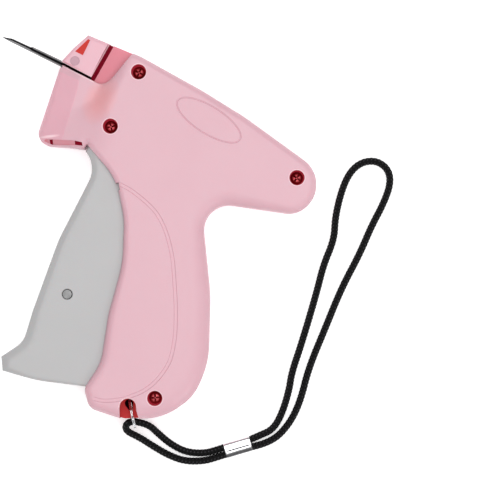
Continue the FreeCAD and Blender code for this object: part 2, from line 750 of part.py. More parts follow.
def make_needle():
    """A slotted tube whose front is ground down to a flat point."""
    tube = long_rod("needle_tube", "needle_radius", "needle_tip", "hub_back", "barrel_height", MIDDLE)
    bore = long_rod("needle_bore_way", "needle_bore", "needle_tip - 1", "hub_back + 1", "barrel_height",
                    MIDDLE)
    slot = block("needle_slot", "needle_tip - 1", "hub_back + 1", "barrel_height - needle_slot_width / 2",
                 "barrel_height + needle_slot_width / 2", MIDDLE, FAR)
    point = prism("needle_point", [
        ("needle_tip - 1", "casing_depth / 2 - needle_radius + needle_point_height", "0"),
        ("needle_tip", "casing_depth / 2 - needle_radius + needle_point_height", "0"),
        ("needle_tip + needle_point_length", "casing_depth / 2 + needle_radius + 1", "0"),
        ("needle_tip - 1", "casing_depth / 2 + needle_radius + 1", "0"),
    ], "-40", "40", "XZ_Plane")
    sides = [
        prism("needle_side_" + side, [
            ("needle_tip - 1", "barrel_height", "0"),
            ("needle_tip", "barrel_height", "0"),
            ("needle_tip + 3", "barrel_height %s (needle_radius + 0.2)" % sign, "0"),
            ("needle_tip - 1", "barrel_height %s (needle_radius + 2)" % sign, "0"),
        ], "0", "casing_depth")
        for side, sign in (("upper", "+"), ("lower", "-"))
    ]
    return subpart("needle", minus("Needle", tube, [bore, slot, point] + sides))


def make_needle_hub():
    """The block that holds the needle, with the slit through it and a notch for the knob's shaft."""
    body = block("hub_block", "hub_front", "hub_back", "barrel_height - hub_half_size",
                 "barrel_height + hub_half_size", "casing_depth / 2 - hub_half_size",
                 "casing_depth / 2 + hub_half_size")
    return subpart("needle_hub", minus("NeedleHub", body, [
        long_rod("hub_bore", "needle_radius", "hub_front - 1", "hub_back + 1", "barrel_height", MIDDLE),
        block("hub_slit", "hub_front - 1", "hub_back + 1", SLIT_LOW, SLIT_HIGH, MIDDLE, FAR),
        rod("hub_notch", "knob_shaft_radius + running_clearance", "knob_x", KNOB_Y, "0", FAR),
    ]))


def make_lock_knob():
    """The knob on the right-hand side, whose shaft runs through the head to the nose plate's face."""
    floor = "head_recess_depth - knob_gap"
    shaft = rod("knob_shaft", "knob_shaft_radius", "knob_x", KNOB_Y, floor, HEAD_TOP)
    disc = rod("knob_disc", "knob_disc_radius", "knob_x", KNOB_Y, floor + " - knob_disc_height", floor)
    handle = turned(
        prism("knob_handle", rectangle("0", "knob_handle_length", "-knob_handle_width / 2",
                                       "knob_handle_width / 2", "0.9"), floor + " - knob_disc_height", floor),
        "knob_x", KNOB_Y, "knob_handle_angle")
    flat = block("knob_flat", "knob_x - 5", "knob_x - knob_shaft_radius * 0.4",
                 KNOB_Y + " - 5", KNOB_Y + " + 5", "casing_depth / 2 - hub_half_size - hub_clearance",
                 "casing_depth / 2 + hub_half_size + hub_clearance")
    solid = joined("knob_solid", [shaft, disc, handle])
    return subpart("needle_lock_knob", minus("NeedleLockKnob", solid, [flat]))


def knife_block(name):
    """The knife's own form, at the front edge of the feed slot."""
    return block(name, "nose_core_end - knife_thickness", "nose_core_end",
                 "barrel_height - push_rod_radius - 0.6 - knife_width",
                 "barrel_height - push_rod_radius - 0.6", "casing_depth / 2 - knife_height", MIDDLE)


def make_knife():
    """The small steel blade that cuts each pin from its clip."""
    edge = prism("knife_edge", [
        ("nose_core_end - knife_thickness - 1", "barrel_height - push_rod_radius - 1.4", "0"),
        ("nose_core_end + 1", "barrel_height - push_rod_radius - 0.3", "0"),
        ("nose_core_end - knife_thickness - 1", "barrel_height - push_rod_radius + 1", "0"),
    ], "0", "casing_depth")
    return subpart("knife", minus("Knife", knife_block("knife_plate"), [edge]))


def make_feed_wheel():
    """A toothed wheel: a disc with round gaps between its teeth and a running bore."""
    body = DOC.addObject("PartDesign::Body", "FeedWheel")
    sketch = body.newObject("Sketcher::SketchObject", "wheel_disc")
    attach(body, sketch, "XY_Plane", "0")
    rim = sketch.addGeometry(Part.Circle(Vector(), Vector(0, 0, 1), value("wheel_radius")), False)
    bore = sketch.addGeometry(Part.Circle(Vector(), Vector(0, 0, 1), value("axle_radius")), False)
    for ring, size in ((rim, "wheel_radius"), (bore, "axle_radius + running_clearance")):
        sketch.addConstraint(Sketcher.Constraint("Coincident", ring, 3, -1, 1))
        number = sketch.addConstraint(Sketcher.Constraint("Radius", ring, value(size)))
        sketch.setExpression("Constraints[%d]" % number, of_sheet(size))
    pad = body.newObject("PartDesign::Pad", "wheel_pad")
    pad.Profile = sketch
    bind(pad, Length="wheel_thickness")
    gap = body.newObject("Sketcher::SketchObject", "wheel_gap")
    attach(body, gap, "XY_Plane", "wheel_thickness")
    round_gap = gap.addGeometry(
        Part.Circle(Vector(value("wheel_radius"), 0, 0), Vector(0, 0, 1), value("tooth_gap_radius")), False)
    gap.addConstraint(Sketcher.Constraint("PointOnObject", round_gap, 3, -1))
    for kind, arguments, size in (
        ("DistanceX", (-1, 1, round_gap, 3), "wheel_radius"), ("Radius", (round_gap,), "tooth_gap_radius"),
    ):
        number = gap.addConstraint(Sketcher.Constraint(kind, *arguments, value(size)))
        gap.setExpression("Constraints[%d]" % number, of_sheet(size))
    pocket = body.newObject("PartDesign::Pocket", "wheel_gap_cut")
    pocket.Profile = gap
    pocket.Type = "ThroughAll"
    DOC.recompute()
    teeth = body.newObject("PartDesign::PolarPattern", "wheel_teeth")
    teeth.Originals = [pocket]
    teeth.Axis = (gap, ["N_Axis"])
    teeth.Angle = 360
    teeth.Occurrences = 12
    body.Tip = teeth
    bind(body, Placement__Base__x="wheel_x", Placement__Base__y="wheel_y", Placement__Base__z=WHEEL_LOW)
    return subpart("feed_wheel", body)


def make_feed_pins():
    """The steel pins that the feed wheel and the pawl turn on."""
    subpart("feed_wheel_axle", rod("FeedWheelAxle", "axle_radius", "wheel_x", "wheel_y", "wall + 1",
                                   WHEEL_HIGH + " + 0.4"))
    subpart("feed_pawl_pin", rod("FeedPawlPin", "pawl_pin_radius", "pawl_x", "pawl_y", "wall + 1",
                                 WHEEL_HIGH + " + 0.4"))


def make_feed_pawl():
    """The finger that moves the feed wheel on by one tooth."""
    hub = rod("pawl_hub", "pawl_hub_radius", "pawl_x", "pawl_y", WHEEL_LOW, WHEEL_HIGH)
    finger = prism("pawl_finger", [
        ("pawl_x - pawl_half_width", "pawl_y", "0"), ("pawl_x + pawl_half_width", "pawl_y", "0"),
        ("pawl_tip_x + pawl_half_width", "pawl_tip_y", "0"), ("pawl_tip_x - 0.4", "pawl_tip_y + 0.6", "0"),
    ], WHEEL_LOW, WHEEL_HIGH)
    bore = rod("pawl_bore", "pawl_pin_radius + running_clearance", "pawl_x", "pawl_y", "0", FAR)
    return subpart("feed_pawl", minus("FeedPawl", joined("pawl_solid", [hub, finger]), [bore]))


def make_anti_reverse_spring():
    """A leaf of spring steel on its post, its free end just clear of the feed wheel's teeth."""
    leaf = turned(
        prism("leaf", rectangle("-leaf_post_radius", "leaf_length", "0", "leaf_thickness"),
              WHEEL_LOW, WHEEL_HIGH), "leaf_root_x", "leaf_root_y", "leaf_angle")
    return subpart("anti_reverse_spring", leaf)


# Trigger and drive


def make_trigger():
    """The trigger: two cheeks joined by a front wall, turning on the casing's pivot boss."""
    body = prism("trigger_outer", corner_list(TRIGGER_CORNERS), TRIGGER_LOW, TRIGGER_HIGH)
    DOC.recompute()
    pad = body.Tip
    front = []
    for index, edge in enumerate(pad.Shape.Edges, start=1):
        box = edge.BoundBox
        in_front = box.XMax < value("finger_stop_x") + 1 and box.YMax < value("trigger_root_y") + 0.01
        if box.ZLength < 0.001 and in_front and box.YMin > value("trigger_toe_y") - 0.01:
            front.append("Edge%d" % index)
    rounding = body.newObject("PartDesign::Fillet", "trigger_rounding")
    rounding.Base = (pad, front)
    bind(rounding, Radius="trigger_round")
    hubs = [
        rod("trigger_hub_low", "trigger_hub_radius", "0", "0", TRIGGER_LOW, TRIGGER_LOW + " + trigger_skin"),
        rod("trigger_hub_high", "trigger_hub_radius", "0", "0", TRIGGER_HIGH + " - trigger_skin", TRIGGER_HIGH),
    ]
    inside = prism("trigger_inside", [
        ("-20", "20", "0"), ("-20", "trigger_root_y + 3", "0"),
        ("trigger_root_x", "trigger_root_y + trigger_front_wall", "0"),
        ("trigger_crook_x + trigger_front_wall", "trigger_crook_y + trigger_front_wall * 0.75",
         "trigger_crook_r + trigger_front_wall"),
        ("trigger_belly_x + trigger_front_wall", "trigger_belly_y", "60"),
        ("trigger_low_x + trigger_front_wall", "trigger_low_y", "30"),
        ("trigger_low_x + trigger_front_wall + 1.6", "trigger_heel_y + trigger_front_wall + 4", "1"),
        ("trigger_sole_x + 2", "trigger_heel_y + trigger_front_wall + 3.4", "40"),
        ("trigger_tail_x + 20", "trigger_tail_y + 12", "0"),
        ("trigger_tail_x + 20", "20", "0"),
    ], TRIGGER_LOW + " + trigger_skin", TRIGGER_HIGH + " - trigger_skin")
    solid = joined("trigger_solid", [body] + hubs)
    return subpart("trigger", minus("Trigger", solid, [
        inside,
        rod("trigger_bore", "boss_radius + running_clearance", "0", "0", "0", FAR),
        rod("trigger_pin_hole", "trigger_pin_radius", "trigger_pin_x", "trigger_pin_y", "0", FAR),
    ]))


def make_link():
    """The link from the trigger's pin to the drive lever, forked where it takes the lever's arm."""
    low = "casing_depth / 2 - link_thickness / 2"
    high = "casing_depth / 2 + link_thickness / 2"
    reach = LINK_LENGTH + " + link_half_width"
    bar = prism("link_bar", rectangle("-link_half_width", reach, "-link_half_width", "link_half_width",
                                      "link_half_width - 0.01"), low, high)
    gap = prism("link_gap", rectangle(LINK_LENGTH + " - 10", LINK_LENGTH + " + 10", "-10", "10"),
                "casing_depth / 2 - link_fork_gap / 2", "casing_depth / 2 + link_fork_gap / 2")
    eye = rod("link_eye", "trigger_pin_radius + running_clearance", "0", "0", "0", FAR)
    far_eye = rod("link_far_eye", "link_pin_radius", LINK_LENGTH, "0", "0", FAR)
    link = minus("Link", bar, [gap, eye, far_eye])
    return subpart("link", turned(link, "trigger_pin_x", "trigger_pin_y", LINK_ANGLE))


def make_linkage_pins():
    """The pins of the trigger, the link, the lever and the slide."""
    low = "casing_depth / 2 - link_thickness / 2"
    high = "casing_depth / 2 + link_thickness / 2"
    subpart("trigger_pin", rod("TriggerPin", "trigger_pin_radius", "trigger_pin_x", "trigger_pin_y",
                               TRIGGER_LOW, TRIGGER_HIGH))
    subpart("link_pin", rod("LinkPin", "link_pin_radius", LINK_END_X, LINK_END_Y, low, high))
    subpart("lever_pivot_pin", rod("LeverPivotPin", "lever_pin_radius", "lever_x", "lever_y",
                                   TRIGGER_LOW, TRIGGER_HIGH))
    subpart("slide_pin", rod("SlidePin", "slide_pin_radius", "slide_pin_x", SLIDE_PIN_Y,
                             "casing_depth / 2 - slide_lug_width / 2",
                             "casing_depth / 2 + slide_lug_width / 2"))


def make_drive_lever():
    """The lever that turns the trigger's short pull into the slide's long stroke."""
    low = "casing_depth / 2 - lever_thickness / 2"
    high = "casing_depth / 2 + lever_thickness / 2"
    hub = rod("lever_hub", "lever_hub_radius", "0", "0", "casing_depth / 2 - lever_hub_length / 2",
              "casing_depth / 2 + lever_hub_length / 2")
    fork_root = FORK_SLOT_START + " - 3"
    upper = prism("lever_upper", [
        ("0", "-lever_hub_radius", "0"), ("lever_waist_start", "lever_waist_back", "12"),
        (FORK_SLOT_START + " - lever_waist_end", "lever_waist_back", "8"),
        (fork_root, "-fork_half_width", "6"), (FORK_REACH, "-fork_half_width", "2"),
        (FORK_REACH, "fork_half_width + fork_slot_offset", "2"),
        (fork_root, "fork_half_width + fork_slot_offset", "8"),
        ("lever_waist_start + 8", "lever_waist_back + lever_waist_width", "20"),
        ("0", "lever_hub_radius", "0"),
    ], low, high)
    slot_low = "fork_slot_offset - fork_slot_width / 2"
    slot_high = "fork_slot_offset + fork_slot_width / 2"
    slot = prism("lever_slot", [
        (FORK_SLOT_START, slot_low, "fork_slot_width / 2 - 0.01"), (FORK_REACH + " + 5", slot_low, "0"),
        (FORK_REACH + " + 5", slot_high, "0"), (FORK_SLOT_START, slot_high, "fork_slot_width / 2 - 0.01"),
    ], "0", FAR)
    blade = turned(minus("lever_blade", upper, [slot]), "0", "0", FORK_ANGLE)
    arm_end = "lever_lower_length + lever_arm_half_width"
    lower = prism("lever_lower", [
        ("0", "-lever_hub_radius", "0"), (arm_end, "-lever_arm_half_width", "lever_arm_half_width - 0.3"),
        (arm_end, "lever_arm_half_width", "lever_arm_half_width - 0.3"), ("0", "lever_hub_radius", "0"),
    ], low, high)
    hole = rod("lever_lower_hole", "link_pin_radius + open_pivot_clearance", "lever_lower_length", "0",
               "0", FAR)
    arm = turned(minus("lever_arm", lower, [hole]), "0", "0", "lever_lower_angle")
    bore = rod("lever_bore", "lever_pin_radius + running_clearance", "0", "0", "0", FAR)
    lever = minus("DriveLever", joined("lever_solid", [hub, blade, arm]), [bore])
    bind(lever, Placement__Base__x="lever_x", Placement__Base__y="lever_y")
    return subpart("drive_lever", lever)


def make_slide():
    """The slide: a flat runner between the casing's rails, with a lug for its pin below."""
    front = "slide_pin_x - slide_front"
    back = "slide_pin_x + slide_back"
    runner = block("slide_runner", front, back, "barrel_height - slide_height / 2",
                   "barrel_height + slide_height / 2", "casing_depth / 2 - slide_width / 2",
                   "casing_depth / 2 + slide_width / 2")
    lug = block("slide_lug", front, back, SLIDE_PIN_Y + " - slide_pin_radius - 1",
                "barrel_height", "casing_depth / 2 - slide_lug_width / 2",
                "casing_depth / 2 + slide_lug_width / 2")
    slot = block("slide_slot", SLIDE_SLOT_FRONT, "slide_pin_x + slide_slot_back", "-20", "40",
                 "casing_depth / 2 - slide_slot_width / 2", "casing_depth / 2 + slide_slot_width / 2")
    pin_hole = rod("slide_pin_hole", "slide_pin_radius", "slide_pin_x", SLIDE_PIN_Y, "0", FAR)
    rod_hole = long_rod("slide_rod_hole", "push_rod_radius", front + " - 1", SLIDE_SLOT_FRONT,
                        "barrel_height", MIDDLE)
    return subpart("slide", minus("Slide", joined("slide_solid", [runner, lug]), [slot, pin_hole, rod_hole]))


def make_push_rod():
    """The steel rod that pushes each pin down the needle."""
    return subpart("push_rod", long_rod("PushRod", "push_rod_radius", "push_rod_tip", SLIDE_SLOT_FRONT,
                                        "barrel_height", MIDDLE))


def make_return_spring():
    """A torsion spring round the lever's left-hand boss, one leg to the lever and one to the casing."""
    radius, wire = value("spring_radius"), value("spring_wire_radius")
    turns, leg = value("spring_turns"), value("spring_leg_length")
    pitch = wire * 2.2
    low = value(MIDDLE) + value("lever_hub_length") / 2 + wire + 0.4
    steps = 16
    points = [
        Vector(radius * math.cos(2 * math.pi * step / steps), radius * math.sin(2 * math.pi * step / steps),
               pitch * step / steps)
        for step in range(int(turns * steps) + 1)
    ]
    helix = Part.BSplineCurve()
    helix.interpolate(points)
    coil = Part.Wire([helix.toShape()])
    circle = Part.Wire([Part.makeCircle(wire, points[0], helix.tangent(helix.FirstParameter)[0])])
    solid = coil.makePipeShell([circle], True, True)
    spring = DOC.addObject("Part::Feature", "TriggerReturnSpring")
    legs = []
    for point, parameter, sign in (
        (points[0], helix.FirstParameter, -1), (points[-1], helix.LastParameter, 1),
    ):
        direction = helix.tangent(parameter)[0] * sign
        legs.append(Part.makeCylinder(wire, leg, point, direction))
    spring.Shape = solid.fuse(legs).removeSplitter()
    bind(spring, Placement__Base__x="lever_x", Placement__Base__y="lever_y")
    spring.Placement.Base.z = low
    return subpart("trigger_return_spring", spring)


# Wrist strap


def make_lanyard_ring():
    """The split ring through the eye, standing on edge across the web."""
    ring = DOC.addObject("Part::Torus", "LanyardRing")
    across = FreeCAD.Rotation(Vector(0, 0, 1), value("ring_angle"))
    ring.Placement = FreeCAD.Placement(Vector(), across.multiply(FreeCAD.Rotation(Vector(1, 0, 0), 90)))
    bind(ring, Radius1="ring_radius", Radius2="ring_wire_radius",
         Placement__Base__x="eye_x + ring_radius * cos(ring_angle)",
         Placement__Base__y="eye_y + ring_radius * sin(ring_angle)",
         Placement__Base__z="casing_depth / 2 - ring_drop")
    return subpart("lanyard_ring", ring)


def cord_tube(label, route):
    """A round cord along straight runs joined by tangent arcs as large as the runs allow."""
    points = [Vector(*point) for point in route]
    edges, last, radii = [], points[0], []
    for before, corner, after in zip(points, points[1:], points[2:]):
        back, ahead = before - corner, after - corner
        half_turn = (math.pi - back.getAngle(ahead)) / 2
        reach = 0.45 * min(back.Length, ahead.Length)
        radii.append(reach / math.tan(half_turn))
        begin = corner + back.normalize() * reach
        end = corner + ahead.normalize() * reach
        inward = radii[-1] / math.cos(half_turn) - radii[-1]
        middle = corner + (back + ahead).normalize() * inward
        edges += [Part.LineSegment(last, begin).toShape(), Part.Arc(begin, middle, end).toShape()]
        last = end
    edges.append(Part.LineSegment(last, points[-1]).toShape())
    path = Part.Wire(edges)
    radius = value("cord_diameter / 2")
    start = (points[1] - points[0]).normalize()
    section = Part.Wire([Part.makeCircle(radius, points[0], start)])
    tube = path.makePipeShell([section], True, False)
    expected = math.pi * radius ** 2 * path.Length
    print("%s: length %.1f, smallest radius %.1f, volume %.1f for %.1f; radii %s" % (
        label, path.Length, min(radii), tube.Volume, expected, " ".join("%.1f" % r for r in radii)))
    feature = DOC.addObject("Part::Feature", label)
    feature.Shape = tube
    return subpart(label, feature)


def make_ferrule():
    """The crimped metal sleeve that holds the cord's four legs, two at each end."""
    left_end = (Vector(*SMALL_LOOP_ROUTE[0]) + Vector(*SMALL_LOOP_ROUTE[-1])) * 0.5
    right_end = (Vector(*WRIST_LOOP_ROUTE[0]) + Vector(*WRIST_LOOP_ROUTE[-1])) * 0.5
    along = right_end - left_end
    body = DOC.addObject("PartDesign::Body", "StrapFerrule")
    sketch = body.newObject("Sketcher::SketchObject", "ferrule_section")
    attach(body, sketch, "YZ_Plane", "-ferrule_length / 2")
    draw_profile(sketch, rectangle("-ferrule_width / 2", "ferrule_width / 2", "-ferrule_height / 2",
                                   "ferrule_height / 2", "ferrule_round"))
    pad = body.newObject("PartDesign::Pad", "ferrule_pad")
    pad.Profile = sketch
    bind(pad, Length="ferrule_length")
    middle = (left_end + right_end) * 0.5
    angle = math.degrees(math.atan2(along.y, along.x))
    body.Placement = FreeCAD.Placement(middle, FreeCAD.Rotation(Vector(0, 0, 1), angle))
    print("ferrule: gap between the loops' ends %.2f" % along.Length)
    return subpart("strap_ferrule", body)


def build():
    """Make every sub-part."""
    inset = cavity_outline()
    make_right_shell(inset)
    left_form = rounded_half("left_form", MIDDLE, "casing_depth", "casing_depth")
    make_left_shell(left_form, inset)
    make_nose_plate(left_form)
    make_arrow_mark()
    make_casing_screws()
    make_needle()
    make_needle_hub()
    make_lock_knob()
    make_knife()
    make_feed_wheel()
    make_feed_pins()
    make_feed_pawl()
    make_anti_reverse_spring()
    make_trigger()
    make_link()
    make_linkage_pins()
    make_drive_lever()
    make_slide()
    make_push_rod()
    make_return_spring()
    make_lanyard_ring()
    make_ferrule()
    cord_tube("strap_small_loop", SMALL_LOOP_ROUTE)
    cord_tube("strap_wrist_loop", WRIST_LOOP_ROUTE)
    DOC.recompute()


def check():
    """Stop before anything is written if an object failed or a sub-part isn't sound."""
    for piece in DOC.Objects:
        if "Invalid" in piece.State or "Error" in piece.State:
            raise RuntimeError("%s failed: %s" % (piece.Name, piece.getStatusString()))
    for piece in SUBPARTS:
        if piece.Shape.isNull() or not piece.Shape.isValid() or not piece.Shape.Solids:
            raise RuntimeError("%s has no sound solid" % piece.Label)


def write():
    """Write each sub-part to a file of its own name."""
    os.makedirs("parts", exist_ok=True)
    for piece in SUBPARTS:
        piece.Shape.exportStep("parts/%s.step" % piece.Label)
        print("%-24s %2d solid(s) %10.1f mm3" % (piece.Label, len(piece.Shape.Solids), piece.Shape.Volume))


build()
check()
write()
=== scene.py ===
import math

import bmesh
import bpy
import numpy as np
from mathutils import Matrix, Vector
from mathutils.geometry import delaunay_2d_cdt


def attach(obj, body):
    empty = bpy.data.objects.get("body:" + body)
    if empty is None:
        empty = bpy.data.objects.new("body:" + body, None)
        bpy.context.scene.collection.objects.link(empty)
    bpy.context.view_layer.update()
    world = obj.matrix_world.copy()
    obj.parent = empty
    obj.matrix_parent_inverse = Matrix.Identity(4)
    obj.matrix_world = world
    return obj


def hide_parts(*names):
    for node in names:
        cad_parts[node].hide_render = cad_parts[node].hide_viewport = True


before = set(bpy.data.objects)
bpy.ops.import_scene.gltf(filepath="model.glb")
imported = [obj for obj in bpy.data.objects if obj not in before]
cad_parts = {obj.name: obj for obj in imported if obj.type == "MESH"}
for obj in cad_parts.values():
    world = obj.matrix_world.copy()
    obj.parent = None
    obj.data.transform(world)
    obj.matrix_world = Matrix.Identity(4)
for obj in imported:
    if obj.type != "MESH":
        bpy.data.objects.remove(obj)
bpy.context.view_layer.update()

MM = 0.001

# Sizes are millimetres: x runs back along the barrel, y up the tool and z up from the table. The
# casing's halves part at the middle, where the barrel's line lies too.
DEPTH = 26.0
MIDDLE = DEPTH / 2
BARREL = 14.6
WALL = 2.2
HEAD_TOP, HEAD_BACK, WINDOW_TOP = 21.5, 22.0, 22.15

# The step down to the head: where it ends and begins, and how far both move below these heights.
STEP_END, BLEND_END = -12.6, -3.8
STEP_LEANS, LEAN_ENDS = (-6.0, 7.0), (12.0, 9.0)

# Corners of an outline in millimetres: x, y, the radius that rounds the corner and the width of the
# soft edge beside it.
CASING = [
    (-26.6, -21.7, 5.5, 3.2), (-14.5, -16.6, 15.0, 3.4), (-6.1, -13.7, 0.0, 2.8),
    (-5.8, -11.4, 0.0, 2.4), (12.0, -19.1, 30.0, 2.4), (22.9, -33.5, 40.0, 2.6),
    (30.5, -51.0, 55.0, 3.0), (34.5, -72.9, 30.0, 3.6), (40.7, -92.8, 22.0, 3.8),
    (39.0, -106.2, 5.0, 3.6), (44.8, -112.7, 5.5, 3.6), (60.2, -110.6, 4.0, 4.4),
    (75.4, -102.3, 26.0, 6.4), (82.6, -89.1, 20.0, 8.0), (82.9, -74.4, 40.0, 8.8),
    (70.1, -46.3, 84.0, 8.6), (48.6, -11.8, 10.8, 6.0), (90.2, 1.5, 10.8, 3.8), (92.0, 12.1, 10.5, 3.4),
    (87.7, 22.2, 12.4, 3.2), (50.2, 28.8, 60.0, 3.2), (28.7, 31.0, 120.0, 3.2), (-1.3, 32.6, 29.0, 2.8),
    (-26.0, 31.1, 0.0, 1.4), (-29.4, 22.8, 20.0, 1.4), (-31.4, 15.9, 4.0, 1.4),
]
TRIGGER = [
    (-5.0, 5.0, 3.0, 1.0), (-5.0, -14.4, 0.0, 2.2), (1.9, -18.0, 11.6, 2.6), (1.1, -53.5, 60.0, 2.8),
    (4.5, -86.1, 40.0, 3.0), (6.7, -99.7, 10.0, 3.4), (0.9, -109.5, 0.0, 3.6), (4.1, -114.7, 0.0, 2.6),
    (19.2, -112.0, 64.0, 1.2), (42.8, -103.9, 1.5, 0.8), (43.4, -91.5, 18.0, 0.6),
    (36.5, -72.4, 30.0, 0.6), (32.3, -49.9, 40.0, 0.6), (25.6, -32.2, 30.0, 0.6),
    (13.4, -17.0, 15.0, 0.6), (5.0, 5.0, 3.0, 0.6),
]
TRIGGER_FRONT = [
    (-5.0, 5.0), (-5.0, -14.4), (-0.4, -17.4), (1.8, -23.5), (1.2, -53.5), (4.5, -86.1), (6.2, -97.0),
    (5.4, -101.0), (0.9, -109.5), (4.1, -114.7), (19.2, -112.2), (41.0, -104.9),
]
WINDOW = [
    (-5.6, 6.0), (-5.6, -22.0), (10.0, -118.0), (38.4, -109.3), (43.6, -107.0), (44.6, -90.0),
    (36.0, -56.0), (26.0, -29.0), (12.0, -9.0),
]

# The head: feed slot, firing slit, ramp beside the slot, nose facet and the mark on the plate.
SLOT_FRONT = [(-16.8, 15.4), (-15.7, 34.0)]
SLOT_BACK = [(-15.2, 14.3), (-14.1, 34.0)]
HEAD_CUT = [(-40.0, 14.9), *SLOT_BACK, (-40.0, 34.0)]
PLATE_CUT = [(-40.0, 16.0), *SLOT_FRONT, (-40.0, 34.0)]
# The slit's bed is a thin near-black sheet under the firing slit, at the first pair of levels on the next
# line: painted shadow.
SLIT_SHADOW_BED = [(-40.0, 15.95), (-16.9, 15.35), (-16.9, 14.0)]
SLIT_SHADOW_LEVELS, RAMP_LEVELS = (15.85, 16.3), (14.6, 17.5)
RAMP = [
    SLOT_BACK[0], (-12.8, 14.4), (-10.8, 15.3), (-9.3, 17.1), (-8.3, 19.6), (-7.3, 23.6), (-6.3, 27.6),
    (-5.3, 31.3), (-4.7, 34.0), SLOT_BACK[1],
]
FACET_LINE = [(-20.8, 12.1), (-19.8, 8.6), (-18.3, -0.4), (-16.8, -10.4), (-15.6, -17.5)]
FACET_TOP, FACET_SLOPE, FACET_EASE = 14.05, 0.3, 0.6
NOSE_FOOT = [(-26.6, -21.7), (-14.5, -16.6), (-5.3, -13.9)]
BEVEL_TOP, BEVEL_END, BEVEL_FADE = 7.0, -4.0, 2.0
ARROW = [(-25.2, 29.5), (-27.9, 22.3), (-24.2, 22.3), (-24.2, 29.5)]
MARK_SUNK = 0.3

# Screws, pins, the needle in its hub, and the rod that runs through it.
SCREWS = [(0.7, 26.2), (0.0, 0.0), (81.5, 15.2), (68.2, -96.4)]
WELL_RADIUS, BOSS_RADIUS, SHAFT_RADIUS, WELL_FLOOR = 3.2, 4.4, 1.7, 17.0
KNOB, KNOB_RADIUS = (-26.2, 18.6), 2.05
PIN, PIN_HOLE = (14.8, -72.9), 2.2
HUB_FRONT, HUB_END, HUB_HALF, HUB_TOP = -30.2, -18.3, 2.8, 15.8
MOUTH_HALF = 1.4
NEEDLE_AXIS, NEEDLE_TIP, NEEDLE_BACK, NEEDLE_RADIUS, NEEDLE_BORE = 15.2, -59.6, -18.4, 1.15, 0.74
ROD_AXIS, ROD_RADIUS = 15.1, 0.49
ROD_WAY_SIDES, ROD_WAY_END, ROD_WAY_TOP = (13.4, 16.9), -6.0, 14.4

# The lanyard recess: a channel along a line, with a web across it that has an eye for the ring.
LANYARD, LANYARD_TURN = (59.4, -104.7), math.radians(-64.0)
CHANNEL, CHANNEL_WALL, LANYARD_NEAR = 3.5, 6.0, 12.0
WEB_TOP, WEB_CUT, WEB_REACH, RECESS_FLOOR = 14.5, 3.4, 11.0, (1.4, 2.6)
MOUTH_REACH = 14.0
EYE_INNER, EYE_OUTER = (59.1, -103.9, 1.9), (60.9, -105.9, 0.9)

# Lines and sunk places on the casing.
HANDLE_LINE = [
    (14.2, -20.6), (19.2, -20.7), (24.2, -21.6), (29.2, -22.9), (34.2, -24.9), (39.2, -28.4), (44.2, -33.4),
    (49.2, -39.9), (54.2, -48.4), (59.2, -57.4), (63.2, -65.9), (65.2, -71.4), (66.7, -77.4),
    (66.9, -81.4), (66.2, -86.4), (64.7, -91.4), (62.2, -95.9), (59.2, -99.4), (56.2, -102.4),
    (52.2, -105.2), (48.2, -107.2), (45.2, -107.8),
]
OVAL_CENTRE, OVAL_AXES, OVAL_TURN = (36.8, 20.8), (15.7, 5.8), math.radians(-6.0)
TROUGH = [
    (-22.9, -17.3), (-20.8, -16.2), (-11.1, -12.2), (-8.0, -11.5), (-7.1, -12.7), (-10.4, -14.0),
    (-18.9, -17.9), (-21.5, -18.2),
]
TROUGH_ENDS = [
    [(-21.3, -16.6), (-20.1, -15.9), (-18.9, -17.9), (-20.2, -18.1)],
    [(-11.1, -12.2), (-8.0, -11.5), (-7.1, -12.7), (-10.3, -13.7)],
]
NOTCH = [(12.6, -21.0), (13.7, -20.1), (15.7, -22.7), (14.6, -23.6)]

TROUGH_DEPTH, TROUGH_END_DEPTH, NOTCH_FLOOR = 0.4, 2.4, 18.5

# The strap.
SMALL_LOOP = [
    (106.7, -106.1, 2.2), (104.3, -108.4, 1.8), (99.6, -112.9, 1.6), (91.8, -116.8, 1.6),
    (83.9, -117.5, 2.0), (76.0, -116.7, 4.0), (69.6, -115.7, 6.5), (62.1, -115.6, 8.6),
    (62.1, -110.6, 12.8), (70.6, -108.6, 10.6), (76.2, -110.7, 6.2), (82.9, -112.7, 2.6),
    (90.5, -113.0, 1.6), (97.8, -110.1, 1.6), (102.3, -106.2, 1.8), (104.7, -103.7, 2.2),
]
WRIST_LOOP = [
    (113.2, -95.9, 2.2), (116.0, -92.6, 1.8), (120.3, -87.6, 1.6), (120.9, -79.8, 1.6),
    (119.2, -69.0, 1.6), (116.8, -61.5, 1.6), (115.2, -48.6, 1.6), (111.3, -25.3, 1.6),
    (108.7, -13.5, 1.6), (108.0, -1.1, 1.6), (104.2, 7.6, 1.6), (101.6, 19.0, 1.6), (101.2, 28.1, 1.6),
    (104.0, 34.5, 1.6), (109.6, 37.9, 1.6), (116.0, 36.7, 1.6), (119.6, 31.3, 1.6), (120.5, 21.8, 1.6),
    (120.1, 11.1, 1.6), (120.8, -2.0, 1.6), (120.2, -19.0, 1.6), (121.5, -37.8, 1.6),
    (122.6, -56.6, 1.6), (125.8, -71.5, 1.6), (125.7, -82.8, 1.6), (122.0, -93.1, 1.8),
    (115.3, -98.3, 2.2),
]
CORD_DIAMETER = 3.1


# Finishes


class Level:
    """A value in a finish's node tree, on which plain sums can be written."""

    def __init__(self, finish, socket):
        self.finish, self.socket = finish, socket

    def sum(self, operation, *others):
        return self.finish.node("ShaderNodeMath", {"operation": operation}, *others)

    def __add__(self, other):
        return self.sum("ADD", self, other)

    def __sub__(self, other):
        return self.sum("SUBTRACT", self, other)

    def __rsub__(self, other):
        return self.sum("SUBTRACT", other, self)

    def __mul__(self, other):
        return self.sum("MULTIPLY", self, other)

    def __truediv__(self, other):
        return self.sum("DIVIDE", self, other)

    __radd__, __rmul__ = __add__, __mul__

    def clamped(self):
        return self.sum("MINIMUM", self.sum("MAXIMUM", self, 0.0), 1.0)


